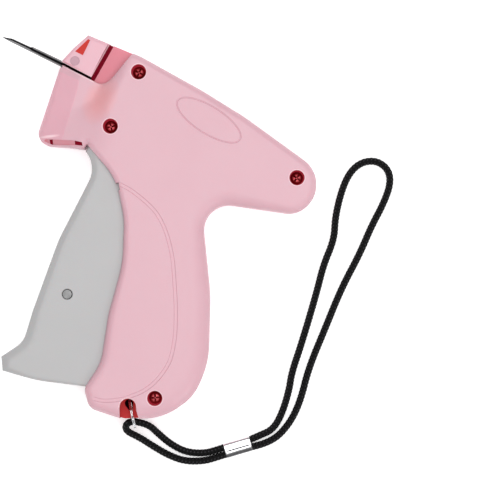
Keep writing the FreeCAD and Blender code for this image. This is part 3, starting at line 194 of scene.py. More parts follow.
class Finish:
    """A material whose nodes are all made by one method."""

    def __init__(self, name, **constants):
        self.material = bpy.data.materials.new(name)
        self.material.use_nodes = True
        self.tree = self.material.node_tree
        self.shader = next(n for n in self.tree.nodes if n.type == "BSDF_PRINCIPLED")
        for key, number in constants.items():
            self.shader.inputs[key.replace("_", " ")].default_value = number
        self.place = self.node("ShaderNodeTexCoord", {}, output="Object")

    def node(self, kind, settings, *values, output=0, **named):
        """A node of a kind: its settings come first, then its sockets are filled in order and by name."""
        node = self.tree.nodes.new(kind)
        for key, setting in settings.items():
            setattr(node, key, setting)
        open_sockets = [socket for socket in node.inputs if socket.enabled]
        by_name = {socket.name.replace(" ", "_"): socket for socket in reversed(open_sockets)}
        filled = list(zip(open_sockets, values)) + [(by_name[key], value) for key, value in named.items()]
        for socket, value in filled:
            if isinstance(value, Level):
                self.tree.links.new(value.socket, socket)
            else:
                socket.default_value = value
        return Level(self, node.outputs[output])

    def feed(self, **levels):
        for key, level in levels.items():
            self.tree.links.new(level.socket, self.shader.inputs[key.replace("_", " ")])
        return self.material

    def axis(self, which):
        return self.node("ShaderNodeSeparateXYZ", {}, self.place, output=which)

    def noise(self, scale, detail=2.0, roughness=0.5, place=None):
        return self.node("ShaderNodeTexNoise", {}, Vector=place or self.place, Scale=scale, Detail=detail,
                         Roughness=roughness)

    def stretched(self, place, scale):
        return self.node("ShaderNodeMapping", {}, Vector=place, Scale=scale)

    def mix(self, share, low, high):
        return self.node("ShaderNodeMix", {"data_type": "RGBA"}, share, low, high, output=2)

    def bump(self, height, strength, distance):
        return self.node("ShaderNodeBump", {}, Strength=strength, Distance=distance, Height=height)


def shade(red, green, blue):
    """A colour given in the 0 to 255 steps of a colour chart, as linear light."""
    def linear(step):
        part = step / 255.0
        return part / 12.92 if part <= 0.04045 else ((part + 0.055) / 1.055) ** 2.4
    return (linear(red), linear(green), linear(blue), 1.0)


def moulded_plastic(name, colour, darker, roughness=0.4, translucence=0.0, shine=0.5, glow=None, tints=(),
                    **more):
    """Injection moulded plastic: faint clouding, fine spark-eroded grain and slow ripples in the gloss. The
    glow is painted light: an emission that lifts shaded hollows, standing in for the light that soaks through
    thin plastic from outside. Each tint is a soft oval patch of painted light or shade: its centre, turn in
    degrees and half sizes in millimetres, its colour, and its share at the centre."""
    if glow:
        more.update(Emission_Color=shade(*glow), Emission_Strength=1.0)
    finish = Finish(name, Specular_IOR_Level=shine, Subsurface_Weight=translucence,
                    Subsurface_Scale=0.004, **more)
    cloud = finish.noise(38.0, 3.0)
    fine = finish.noise(2600.0, 2.0, 0.6)
    patch = finish.noise(160.0, 4.0, 0.55)
    tone = finish.mix(((cloud * 0.6 + patch * 0.4 - 0.35) * 1.6).clamped(), shade(*darker), shade(*colour))
    for x, y, turn, wide, high, patch_colour, share in tints:
        right, up = finish.axis(0) - x * MM, finish.axis(1) - y * MM
        cos, sin = math.cos(math.radians(turn)), math.sin(math.radians(turn))
        along = (right * cos + up * sin) / (wide * MM)
        aside = (up * cos - right * sin) / (high * MM)
        fade = (1.0 - along * along - aside * aside).clamped()
        tone = finish.mix(fade * share, tone, shade(*patch_colour))
    gloss = (patch - 0.5) * 0.16 + (fine - 0.5) * 0.08 + roughness
    grain = finish.bump(fine + patch * 0.7, 0.35, 0.02 * MM)
    return finish.feed(Base_Color=tone, Roughness=gloss, Normal=grain)


def pink(name, colour, darker, roughness=0.44, **more):
    return moulded_plastic(name, colour, darker, roughness, 0.12, Subsurface_Radius=(1.0, 0.35, 0.4), **more)


def metal(name, colour, darker, roughness, scratch=0.00001, stretch=(1.0, 1.0, 1.0), Metallic=1.0):
    """Plated or polished metal with fine scratches and slight staining."""
    finish = Finish(name, Metallic=Metallic)
    scratches = finish.noise(900.0, 4.0, 0.7, finish.stretched(finish.place, stretch))
    stain = finish.noise(220.0, 3.0)
    stained = finish.node("ShaderNodeMapRange", {}, stain, 0.35, 0.7, 0.0, 1.0)
    gloss = (scratches - 0.5) * 0.18 + (stain - 0.5) * 0.12 + roughness
    return finish.feed(Base_Color=finish.mix(stained, shade(*darker), shade(*colour)), Roughness=gloss,
                       Normal=finish.bump(scratches, 0.3, scratch))


def braided_cord():
    """Black polyester yarn with fine filaments; the colour turns grey along the crowns of one family of
    strands and in filament streaks: painted glints.
    """
    finish = Finish("braided_cord", Specular_IOR_Level=0.12)
    crown = finish.node("ShaderNodeAttribute", {"attribute_name": "crown"}, output=2)
    lines = finish.node("ShaderNodeUVMap", {"uv_map": "along"})
    filament = finish.noise(140.0, 2.0, 0.6, finish.stretched(lines, (1.0, 9.0, 1.0)))
    dust = finish.noise(420.0, 3.0)
    # share paints the glints: grey along the strands' crowns and in filament streaks.
    share = ((crown - 0.66) * 2.6 + (filament - 0.5) * 1.6).clamped()
    gloss = (filament - 0.5) * 0.3 + (dust - 0.5) * 0.1 + 0.6
    return finish.feed(Base_Color=finish.mix(share, shade(3, 3, 4), shade(62, 61, 65)), Roughness=gloss,
                       Normal=finish.bump(filament + crown * 0.6, 0.6, 0.00008))


# Patches of painted light on the pink: painted shade in salmon over the step down to the head, a red painted
# shade beside the nose's front trough end, and a painted highlight along the crest of the nose's bevel.
SLOPE_SHADE_TINT = (-9.0, 8.5, 0.0, 7.5, 12.0, (230, 158, 160), 0.75)
BLUSH_SHADE_TINT = (-21.8, -17.3, 24.0, 1.9, 0.8, (206, 80, 92), 1.0)
CREST_HIGHLIGHT_TINT = (-21.9, -15.3, 31.7, 5.2, 0.75, (252, 216, 222), 0.9)

FINISHES = {
    "casing": pink("casing_plastic", (219, 176, 186), (215, 170, 181), tints=[SLOPE_SHADE_TINT]),
    # Lighter pink for strips along rims beside wells, cuts and the lanyard channel: a painted highlight.
    "edge": pink("casing_rim_plastic", (246, 208, 215), (240, 200, 208)),
    # The nose facet's own copy of the pink, coloured for how light falls on its tilt: painted shade, carrying
    # the nose's painted shade and highlight patches.
    "facet": pink("casing_facet_plastic", (228, 176, 188), (223, 169, 182), tints=[BLUSH_SHADE_TINT, CREST_HIGHLIGHT_TINT]),
    "plate": pink("nose_plate_plastic", (229, 181, 192), (225, 175, 187)),
    # Darker salmon for the shallow trough along the nose's underside: painted shade.
    "trough": pink("casing_trough_plastic", (214, 148, 158), (208, 140, 151)),
    # Darker, deeper pink for the ramp sunk beside the feed slot: painted shade.
    "slope": pink("casing_slope_plastic", (232, 141, 156), (224, 125, 142)),
    # The web deep in the lanyard recess in dark red: painted shade, lifted by a painted glow.
    "web": pink("casing_web_plastic", (186, 66, 66), (164, 48, 52), 0.7, shine=0.1, glow=(92, 22, 20)),
    # Dark red for the inner faces and the walls of hollows, pockets and openings: painted shade, lifted by a
    # painted glow.
    "inside": pink("casing_inside_plastic", (140, 14, 32), (104, 6, 22), 0.7, shine=0.1, glow=(92, 6, 24)),
    # Red for the screw wells: painted shade, lifted by a painted glow.
    "well": pink("casing_well_plastic", (176, 50, 66), (150, 30, 48), 0.6, shine=0.2, glow=(112, 22, 34)),
    # Near-black for the slit, the head's mouth and the lanyard recess's floor: painted shadow.
    "deep": moulded_plastic("casing_deep_plastic", (40, 4, 8), (22, 2, 4), 0.8, shine=0.05),
    "mark": moulded_plastic("mark_paint", (214, 72, 62), (198, 52, 48), 0.6, shine=0.15),
    "trigger": moulded_plastic("trigger_plastic", (182, 181, 181), (176, 175, 176), 0.42, 0.05),
    "inner": moulded_plastic("inner_plastic", (214, 214, 210), (200, 200, 198)),
    "knob": moulded_plastic("knob_plastic", (194, 150, 164), (184, 138, 152), 0.38),
    "pin": metal("pin_steel", (140, 140, 140), (112, 112, 112), 0.5),
    "steel": metal("spring_steel", (170, 170, 174), (140, 140, 146), 0.3),
    # Steel tinted red: a painted reflection of the red wells round the screws.
    "screw": metal("screw_steel", (176, 84, 88), (128, 42, 48), 0.34),
    "needle": metal("needle_steel", (152, 152, 153), (128, 128, 130), 0.45, 0.000008, (0.12, 1.0, 1.0), 0.3),
    # Near-black steel for the needle's bore and its length in the slit: painted shade.
    "bore": metal("needle_bore_steel", (26, 26, 27), (14, 14, 15), 0.5),
    "chrome": metal("chrome_plate", (232, 232, 234), (214, 214, 217), 0.14, 0.000004),
    # Darker chrome for the ferrule's seam and lap: painted shade.
    "lap": metal("chrome_lap", (118, 118, 120), (96, 96, 98), 0.3, 0.000004),
    "cord": braided_cord(),
}


# Plans: lines, distances and reliefs


def turns(count):
    """Angles spread evenly over a full turn."""
    return np.linspace(0, 2 * math.pi, count, endpoint=False)


def circle(centre, radius, count=40):
    return np.stack([centre[0] + radius * np.cos(turns(count)), centre[1] + radius * np.sin(turns(count))], 1)


def turned(places, centre, turn):
    """Places given along and across a direction, in the tool's own x and y."""
    cos, sin = math.cos(turn), math.sin(turn)
    return np.array([(centre[0] + x * cos - y * sin, centre[1] + x * sin + y * cos) for x, y in places])


def rounded(corners, arc_step=0.7, straight_step=1.6):
    """Points round a closed outline: x, y and the soft edge's width, with every corner rounded."""
    points = []
    for index, (x, y, radius, soft) in enumerate(corners):
        corner = Vector((x, y))
        if radius <= 0.0:
            points.append((corner.x, corner.y, soft))
            continue
        u = (Vector(corners[index - 1][:2]) - corner).normalized()
        v = (Vector(corners[(index + 1) % len(corners)][:2]) - corner).normalized()
        half = u.angle(v) / 2
        centre = corner + (u + v).normalized() * (radius / math.sin(half))
        first, last = (corner + way * (radius / math.tan(half)) - centre for way in (u, v))
        turn = -first.angle_signed(last)
        pieces = max(2, math.ceil(abs(turn) * radius / arc_step))
        for k in range(pieces + 1):
            cos, sin = math.cos(turn * k / pieces), math.sin(turn * k / pieces)
            points.append((centre.x + first.x * cos - first.y * sin,
                           centre.y + first.x * sin + first.y * cos, soft))
    return divided(points, straight_step)


def divided(line, step, closed=True):
    """A line with points added so that none is further than a step from the next."""
    line = [tuple(p) for p in line]
    out = []
    for a, b in zip(line, line[1:] + line[:1] if closed else line[1:]):
        parts = max(1, math.ceil(math.hypot(b[0] - a[0], b[1] - a[1]) / step))
        out += [tuple(p + (q - p) * k / parts for p, q in zip(a, b)) for k in range(parts)]
    return np.array(out if closed else out + [line[-1]])


def smooth_line(line, step=1.0):
    """A flowing open line through the given points."""
    line = np.array(line, float)
    padded = np.vstack([2 * line[0] - line[1], line, 2 * line[-1] - line[-2]])
    out = []
    for i in range(1, len(padded) - 2):
        a, b, c, d = padded[i - 1:i + 3]
        parts = max(2, math.ceil(np.linalg.norm(c - b) / step))
        for t in np.arange(parts) / parts:
            out.append(0.5 * (2 * b + (c - a) * t + (2 * a - 5 * b + 4 * c - d) * t * t
                              + (3 * b - a - 3 * c + d) * t ** 3))
    return np.array(out + [line[-1]])


def nearest(xy, line, closed=True):
    """Distance from each point to a line, and the place along the line of its nearest point."""
    start = np.asarray(line)[:, :2]
    end = np.roll(start, -1, 0)
    if not closed:
        start, end = start[:-1], end[:-1]
    along = end - start
    size = (along ** 2).sum(1)
    far, where = [], []
    for block in np.array_split(xy, max(1, len(xy) // 3000)):
        offset = block[:, None] - start
        part = np.clip((offset * along).sum(2) / size, 0, 1)
        gap = np.sqrt(((offset - part[..., None] * along) ** 2).sum(2))
        best = gap.argmin(1)
        rows = np.arange(len(block))
        far.append(gap[rows, best])
        where.append(best + part[rows, best])
    return np.concatenate(far), np.concatenate(where)


def apart(xy, centre):
    """Distance of each point from a centre."""
    return np.hypot(*(xy - centre).T)


def inside(xy, loop):
    """Which points lie within a closed line."""
    x, y = xy.T
    within = np.zeros(len(xy), bool)
    loop = np.asarray(loop)[:, :2]
    for (ax, ay), (bx, by) in zip(loop, np.roll(loop, -1, 0)):
        if ay != by:
            within ^= ((ay > y) != (by > y)) & (x < (bx - ax) * (y - ay) / (by - ay) + ax)
    return within


def beside(line, offset, closed=True):
    """The points of a line moved sideways, to its left, by an offset that may vary along it."""
    line = np.asarray(line)[:, :2]
    ahead, behind = np.roll(line, -1, 0), np.roll(line, 1, 0)
    if not closed:
        ahead[-1], behind[0] = line[-1], line[0]
    along = ahead - behind
    along /= np.linalg.norm(along, axis=1)[:, None]
    left = np.stack([-along[:, 1], along[:, 0]], 1)
    return line + left * np.reshape(offset, (-1, 1))


def clear_of(points, others, distance):
    """The points that stay a distance away from all of the others."""
    kept = []
    for block in np.array_split(points, max(1, len(points) // 400)):
        gap = np.sqrt(((block[:, None] - others[None]) ** 2).sum(2)).min(1)
        kept.append(block[gap > distance])
    return np.vstack(kept)


def smooth(part):
    part = np.clip(part, 0, 1)
    return part * part * (3 - 2 * part)


def quarter(distance, width, height):
    """How far a soft edge drops at a distance from its rim."""
    part = np.clip(1 - distance / width, 0, 1)
    return height * (1 - np.sqrt(1 - part * part))


def chamfer(distance, width, slope=0.5, eased=0.5, rim=0.8):
    """How far a flat bevel drops, its inner line eased and its rim rounded."""
    reach = np.maximum(width - distance, 0)
    return slope * np.where(reach < eased, reach * reach, reach - eased / 2) + quarter(distance, rim, rim)


def at(level, xy):
    """A level at each point: one height, or a function of the place."""
    return np.broadcast_to(level(xy) if callable(level) else level, len(xy))


class Plan:
    """A moulded piece as a plan: an outline with soft edges, lines its mesh follows, and regions
    that each have an under and an upper level."""

    SOFT_STEPS = (0.034, 0.134, 0.293, 0.5, 0.741, 1.0)
    CLOSEST, EDGE_CLEAR, ROW, SMALLEST_AREA = 0.16, 0.6, 0.866, 1e-7

    def __init__(self, outline, base, spacing=1.7, bevelled=0.0):
        self.outline, self.base, self.spacing, self.bevelled = outline, base, spacing, bevelled
        self.lines, self.extra, self.rims, self.grooves = [(outline[:, :2], True)], [], [], []
        for share in self.SOFT_STEPS:
            self.ring(outline[:, 2] * share)

    def ring(self, reach):
        """Mesh points at a reach inside the outline, left out where they cross to another part of it."""
        points = beside(self.outline, reach)
        gap = nearest(points, self.outline)[0]
        self.extra.append(points[(gap > reach * 0.93) & inside(points, self.outline)])

    def follow(self, line, step=None, closed=True):
        """Make the mesh follow a line, with points at most a step apart."""
        self.lines.append((divided(line, step, closed) if step else line, closed))

    def rim(self, loop, width, closed=True, sides=(1,)):
        """A soft edge beside an opening; sides says which way it lies, 1 left and -1 right."""
        self.rims.append((loop, width, closed))
        for share in self.SOFT_STEPS[1::2]:
            self.extra += [beside(loop, side * width * share, closed) for side in sides]

    def groove(self, line, width, depth, side, closed=False):
        """A shallow sunk line with a flat floor and steep sides."""
        self.grooves.append((line, width, depth, side, closed))
        for offset in (width / 2 + 0.15, width / 2, width / 2 - side, 0.0):
            for sign in ((1, -1) if offset else (1,)):
                self.follow(beside(line, sign * offset, closed), closed=closed)

    def top(self, xy):
        """The upper surface before any pocket is cut into it."""
        gap, place = nearest(xy, self.outline)
        soft = self.outline[:, 2]
        low = np.floor(place).astype(int) % len(soft)
        width = soft[low] + (soft[(low + 1) % len(soft)] - soft[low]) * (place - np.floor(place))
        drop = quarter(gap, width, np.where(width < 3, width, 3 + 0.28 * (width - 3)))
        drop = drop + (chamfer(gap, width) - drop) * at(self.bevelled, xy)
        for loop, rim_width, closed in self.rims:
            drop = np.maximum(drop, quarter(nearest(xy, loop, closed)[0], rim_width, rim_width))
        for line, width, depth, side, closed in self.grooves:
            gap = nearest(xy, line, closed)[0]
            drop = drop + depth * (1 - smooth((gap - width / 2 + side) / side))
        return at(self.base, xy) - drop

    def mesh(self, regions, region_of):
        """Triangulate the plan and raise each region between its levels. regions gives, by name,
        (under level, upper level, finish of its faces, finish of walls that face it)."""
        flat, edges = [], []
        for line, closed in self.lines:
            start, count = len(flat), len(line)
            flat += [Vector(p[:2]) for p in line]
            edges += [(start + i, start + (i + 1) % count) for i in range(count if closed else count - 1)]
        taken = np.array([p[:] for p in flat])
        low, high = self.outline[:, :2].min(0), self.outline[:, :2].max(0)
        rows = np.arange(low[1], high[1], self.spacing * self.ROW)
        grid = np.array([(x + (k % 2) * self.spacing / 2, y) for k, y in enumerate(rows)
                         for x in np.arange(low[0], high[0], self.spacing)])
        clear = nearest(grid, self.outline)[0] > self.EDGE_CLEAR
        rings = clear_of(np.vstack(self.extra), taken, self.CLOSEST)
        grid = clear_of(grid[clear & inside(grid, self.outline)], np.vstack([taken, rings]), self.spacing / 2)
        flat += [Vector(p) for p in np.vstack([rings, grid])]
        verts, _, tris, *_ = delaunay_2d_cdt(flat, edges, [], 0, 1e-4, False)
        xy, tris = np.array([v[:] for v in verts]), np.array([t for t in tris])
        a, b, c = (xy[tris[:, k]] for k in range(3))
        area = (b[:, 0] - a[:, 0]) * (c[:, 1] - a[:, 1]) - (b[:, 1] - a[:, 1]) * (c[:, 0] - a[:, 0])
        tris[area < 0] = tris[area < 0][:, ::-1]
        tris = tris[abs(area) > self.SMALLEST_AREA]
        middle = xy[tris].mean(1)
        region = np.where(inside(middle, self.outline), region_of(middle), None)
        return raise_plan(xy, tris, region, regions)


def raise_plan(xy, tris, region, regions):
    """Faces between every region's levels, with walls where neighbours differ. Returns points,
    faces and the finish of each face. A region without levels is open."""
    thinnest, level_slack = 1e-3, 1e-5
    low, high = ({kind: np.round(at(row[end], xy), 4) for kind, row in regions.items() if row[end]}
                 for end in (0, 1))
    columns = {}
    for tri, kind in zip(tris, region):
        if kind in low:
            for v in tri:
                columns.setdefault(v, set()).update((low[kind][v], high[kind][v]))
    columns = {v: sorted(levels) for v, levels in columns.items()}
    points, number, faces, paint = [], {}, [], []

    def point(v, z):
        if (v, z) not in number:
            number[(v, z)] = len(points)
            points.append((xy[v, 0], xy[v, 1], z))
        return number[(v, z)]

    def face(ring, finish):
        faces.append(ring)
        paint.append(finish)

    def sides(tri):
        return (tri[0], tri[1]), (tri[1], tri[2]), (tri[2], tri[0])

    def wall(i, j, below, above, finish):
        if above[i] - below[i] < thinnest and above[j] - below[j] < thinnest:
            return
        left, right = ([z for z in columns[v] if below[v] - level_slack <= z <= above[v] + level_slack]
                       for v in (i, j))
        ring = [point(i, left[0])] + [point(j, z) for z in right] + [point(i, z) for z in left[:0:-1]]
        if len(ring) > 2:
            face(ring, finish)

    beyond = {side: kind for tri, kind in zip(tris, region) for side in sides(tri)}
    for tri, kind in zip(tris, region):
        if kind not in low:
            continue
        under, upper = low[kind], high[kind]
        face([point(v, upper[v]) for v in tri], regions[kind][2])
        # The undersides, and walls below a neighbour's under level, take the dark red inside finish: painted
        # shade where they show through openings.
        face([point(v, under[v]) for v in tri[::-1]], "inside")
        for i, j in sides(tri):
            other = beyond.get((j, i))
            if other == kind:
                continue
            finish = regions[other][3] if other in regions else regions[kind][2]
            if other not in low:
                wall(i, j, under, upper, finish)
                continue
            if upper[i] + upper[j] > high[other][i] + high[other][j]:
                wall(i, j, high[other], upper, finish)
            if under[i] + under[j] < low[other][i] + low[other][j]:
                wall(i, j, under, low[other], "inside")
    return np.array(points), faces, paint


# Making pieces


def loft(rings, closed=False):
    """Skin a row of equal rings of points. Returns points and faces, ring by ring, then the caps."""
    rings = np.asarray(rings, float)
    count, size = rings.shape[:2]
    faces = []
    for k in range(count if closed else count - 1):
        a, b = k * size, ((k + 1) % count) * size
        faces += [[a + i, b + i, b + (i + 1) % size, a + (i + 1) % size] for i in range(size)]
    if not closed:
        faces += [list(range(size)), [(count - 1) * size + i for i in range(size)][::-1]]
    return rings.reshape(-1, 3), faces


def placed(name, data):
    """A new object in the scene."""
    shape = bpy.data.objects.new(name, data)
    bpy.context.scene.collection.objects.link(shape)
    return shape


def piece(name, points, faces, paint, smooth_angle=32.0, merge=True):
    """An object from points in millimetres. paint is a finish, or one for each face."""
    paint = [paint] * len(faces) if isinstance(paint, str) else paint
    mesh = bpy.data.meshes.new(name)
    mesh.from_pydata((np.array(points) * MM).tolist(), [], [[int(v) for v in face] for face in faces])
    names = list(dict.fromkeys(paint))
    for key in names:
        mesh.materials.append(FINISHES[key])
    mesh.polygons.foreach_set("material_index", [names.index(key) for key in paint])
    mesh.polygons.foreach_set("use_smooth", [True] * len(mesh.polygons))
    mesh.update()
    if merge:
        work = bmesh.new()
        work.from_mesh(mesh)
        bmesh.ops.remove_doubles(work, verts=work.verts, dist=0.002 * MM)
        work.to_mesh(mesh)
        work.free()
    mesh.set_sharp_from_angle(angle=math.radians(smooth_angle))
    return placed(name, mesh)


def outward(shape):
    """The same piece with its faces turned outwards."""
    work = bmesh.new()
    work.from_mesh(shape.data)
    bmesh.ops.recalc_face_normals(work, faces=work.faces)
    work.to_mesh(shape.data)
    work.free()
    return shape


def built(shape, body, slot, *nodes):
    """Fix a finished piece to its body and hide the CAD nodes that it stands for. slot is not used."""
    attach(shape, body)
    if nodes:
        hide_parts(*nodes)
    return shape


# The casing


def facet_front(y):
    """Where the nose facet ends, at each height."""
    across, up = zip(*FACET_LINE[::-1])
    return np.interp(y, up, across)


def slope_height(xy):
    """The upper side: full depth over the body, stepped down smoothly to the head, faceted at the nose."""
    x, y = xy.T
    lean = np.interp(y, STEP_LEANS, [1.0, 0.0])
    first, last = STEP_END - LEAN_ENDS[0] * lean, BLEND_END + LEAN_ENDS[1] * lean
    height = DEPTH - (DEPTH - HEAD_TOP) * smooth((last - x) / (last - first))
    ahead = np.where(y < BARREL, np.maximum(facet_front(y) - x, 0), 0)
    eased = np.where(ahead < FACET_EASE, ahead * ahead / (2 * FACET_EASE), ahead - FACET_EASE / 2)
    return height - FACET_SLOPE * eased


def nose_bevel(xy):
    """How far the casing's edge is a flat bevel: fully along the underside of the nose."""
    x, y = xy.T
    foot = np.interp(x, *zip(*NOSE_FOOT))
    return smooth((foot + BEVEL_TOP - y) / BEVEL_FADE) * smooth((BEVEL_END - x) / BEVEL_FADE)


def lanyard_reach(xy):
    """Distance from the lanyard's channel line, and how far along it a point lies."""
    turn = np.array([math.cos(LANYARD_TURN), math.sin(LANYARD_TURN)])
    offset = xy - np.array(LANYARD)
    along = offset @ turn
    side = offset @ np.array([-turn[1], turn[0]])
    return np.hypot(side, np.minimum(along, 0)), along


def arc(radius, start, end, count, along=0.0):
    """Points of an arc round the lanyard's channel line, from one angle to another."""
    return [(along + radius * math.cos(t), radius * math.sin(t)) for t in np.linspace(start, end, count)]


def channel_outline(radius):
    """The lanyard recess: round at its inner end, open at the casing's edge and flared on one side."""
    shape = arc(radius, math.pi / 2, 3 * math.pi / 2, 14)
    shape += [(MOUTH_REACH, -radius), (MOUTH_REACH, radius + 1.9), (7.2, radius + 1.9),
              (5.4, radius + 1.25), (1.2, radius + 0.02)]
    return turned(shape, LANYARD, LANYARD_TURN)


def web_end():
    """The rounded end of the web, at its reach along the channel, and the air beyond it."""
    shape = arc(CHANNEL, -math.pi / 2, math.pi / 2, 18, along=WEB_REACH - CHANNEL)
    shape += [(MOUTH_REACH, CHANNEL), (MOUTH_REACH, -CHANNEL)]
    return turned(shape, LANYARD, LANYARD_TURN)


def eye_outline(count=16):
    """The hole in the web: round at its inner end and narrowing towards the mouth."""
    (ax, ay, large), (bx, by, small) = EYE_INNER, EYE_OUTER
    turn = math.atan2(by - ay, bx - ax)
    lean = math.acos((large - small) / math.hypot(bx - ax, by - ay))
    first = np.linspace(turn + lean, turn + 2 * math.pi - lean, count)
    second = np.linspace(turn - lean, turn + lean, count // 2)
    return np.array([(ax + large * math.cos(t), ay + large * math.sin(t)) for t in first]
                    + [(bx + small * math.cos(t), by + small * math.sin(t)) for t in second])


def casing_plan(base):
    """What both halves' plans hold: the outline, the trigger's window, the web, its eye and the wall."""
    plan = Plan(rounded(CASING), base, bevelled=nose_bevel)
    channel = divided(channel_outline(CHANNEL), 0.8)
    plan.follow(WINDOW, 2.0)
    plan.follow(channel)
    plan.follow(web_end(), 0.8)
    plan.follow(eye_outline(), 0.6)
    plan.follow(channel_outline(CHANNEL_WALL), 1.6)
    plan.rim(channel, 0.5, sides=(-1, 1))
    plan.ring(WALL)
    return plan


def shared_regions(plan, xy):
    """Regions that both halves have: wall or boss, hollow, window, lanyard web and open air."""
    gap = nearest(xy, plan.outline)[0]
    region = np.where(gap < WALL, "wall", "hollow").astype(object)
    near_edge = gap < LANYARD_NEAR
    region[(lanyard_reach(xy)[0] < CHANNEL_WALL) & near_edge] = "wall"
    for centre in SCREWS:
        region[apart(xy, centre) < BOSS_RADIUS] = "wall"
    pivot_boss = apart(xy, SCREWS[1]) < BOSS_RADIUS
    region[inside(xy, WINDOW) & (gap < WALL) & ~pivot_boss] = "window"
    region[inside(xy, channel_outline(CHANNEL)) & near_edge] = "web"
    region[inside(xy, eye_outline())] = "open"
    return region


def left_half():
    """The upper half: wells over the screws, stepped head, ramp beside the feed slot, sunk lines."""
    plan = casing_plan(slope_height)
    edges = []

    # A bright edge is a soft rim with a strip beside it in the lighter edge finish: a painted highlight.
    def bright_edge(loop, width, side, closed=True, rim=0.35):
        edges.append((loop, width, closed))
        plan.rim(loop, rim, closed, (side,))
        plan.follow(beside(loop, side * width, closed), closed=closed)

    for centre in SCREWS:
        well = circle(centre, WELL_RADIUS)
        plan.follow(well)
        plan.follow(circle(centre, SHAFT_RADIUS, 20))
        bright_edge(well, 0.45, -1)
    ramp = np.vstack([smooth_line(RAMP[:-1]), [SLOT_BACK[1]]])
    plan.follow(HEAD_CUT, 0.8)
    plan.follow(ramp, 0.8)
    plan.follow(SLIT_SHADOW_BED, 0.8, closed=False)
    hub_low, hub_high = BARREL - HUB_HALF, BARREL + HUB_HALF
    plan.follow([(HUB_FRONT, -40.0), (HUB_FRONT, hub_low)], 2.0, closed=False)
    plan.follow([(HUB_FRONT, hub_low), (HUB_END, hub_low), (HUB_END, hub_high), (HUB_FRONT, hub_high)], 2.0)
    bright_edge(divided(HEAD_CUT[:2], 0.8, False), 0.55, -1, False, 0.3)
    plan.rim(divided(ramp[:-1], 0.8, False), 0.3, False, (-1,))
    bright_edge(divided(channel_outline(CHANNEL)[:-5], 0.8, False), 0.45, -1, False, 0.5)
    facet = divided(FACET_LINE, 0.8, False)
    plan.follow(facet, closed=False)
    plan.extra += [facet - (0.3, 0), facet - (0.7, 0)]
    oval = [(OVAL_AXES[0] * math.cos(t), OVAL_AXES[1] * math.sin(t)) for t in turns(90)]
    plan.groove(turned(oval, OVAL_CENTRE, OVAL_TURN), 0.8, 0.3, 0.35, True)
    plan.groove(smooth_line(HANDLE_LINE), 1.7, 0.4, 0.25)
    for loop in (TROUGH, NOTCH, *TROUGH_ENDS):
        plan.follow(loop, 0.6)

    def region_of(xy):
        x, y = xy.T
        region = shared_regions(plan, xy)
        on_facet = (x < facet_front(y)) & (y < FACET_TOP)
        for kind in ("wall", "hollow"):
            region[on_facet & (region == kind)] = kind + " facet"
        region[inside(xy, TROUGH)] = "trough"
        for loop in TROUGH_ENDS:
            region[inside(xy, loop)] = "trough end"
        region[inside(xy, NOTCH)] = "notch"
        beside_barrel = abs(y - BARREL)
        region[(beside_barrel < HUB_HALF) & (x > HUB_FRONT) & (x < HUB_END) & (y < 15.0)] = "pocket"
        # Strips beside the wells, the head's cut and the lanyard channel take the lighter edge finish: a
        # painted highlight.
        for loop, width, closed in edges:
            near = nearest(xy, loop, closed)[0] < width
            for kind in ("wall", "hollow", "pocket"):
                region[near & ((region == kind) | (region == kind + " facet"))] = kind + " edge"
        region[inside(xy, ramp)] = "ramp"
        for centre in SCREWS:
            region[apart(xy, centre) < WELL_RADIUS] = "well"
            region[apart(xy, centre) < SHAFT_RADIUS] = "shaft"
        region[(beside_barrel < MOUTH_HALF) & (x < HUB_FRONT)] = "mouth"
        in_cut = inside(xy, HEAD_CUT)
        region[in_cut] = "mouth"
        # Under the slit lies a thin near-black sheet: painted shadow.
        slit_top = np.interp(x, *zip(*SLIT_SHADOW_BED[:2]))
        region[in_cut & (x < SLIT_SHADOW_BED[1][0]) & (x > -31.0) & (y < slit_top) & (y > 14.2)] = "slit bed"
        return region

    def ceiling(xy):
        return plan.top(xy) - WALL

    # Walls that face hollows, windows, pockets and openings, the trough ends and the notch take the dark red
    # inside finish, and the mouth's walls and the slit's bed the near-black one: painted shade and painted
    # shadow. Rims take the lighter edge finish, a painted highlight; the facet, trough, ramp, web and wells
    # are shaded copies of the pink: painted shade.
    regions = {
        "wall": (MIDDLE, plan.top, "casing", "casing"),
        "hollow": (ceiling, plan.top, "casing", "inside"),
        "window": (WINDOW_TOP, plan.top, "casing", "inside"),
        "pocket": (HUB_TOP, plan.top, "casing", "inside"),
        "wall edge": (MIDDLE, plan.top, "edge", "inside"),
        "hollow edge": (ceiling, plan.top, "edge", "inside"),
        "pocket edge": (HUB_TOP, plan.top, "edge", "inside"),
        "wall facet": (MIDDLE, plan.top, "facet", "facet"),
        "hollow facet": (ceiling, plan.top, "facet", "inside"),
        "web": (MIDDLE, WEB_TOP, "web", "web"),
        "ramp": (*RAMP_LEVELS, "slope", "slope"),
        "trough": (MIDDLE, lambda xy: plan.top(xy) - TROUGH_DEPTH, "trough", "trough"),
        "trough end": (MIDDLE, lambda xy: plan.top(xy) - TROUGH_END_DEPTH, "inside", "inside"),
        "notch": (MIDDLE, NOTCH_FLOOR, "inside", "inside"),
        "well": (MIDDLE, WELL_FLOOR, "well", "well"),
        "slit bed": (*SLIT_SHADOW_LEVELS, "deep", "deep"),
        "shaft": (None, None, None, "well"),
        "open": (None, None, None, "inside"),
        "mouth": (None, None, None, "deep"),
    }
    shape = piece("left_shell_moulded", *plan.mesh(regions, region_of))
    return built(shape, "casing", "casing", "left_shell")


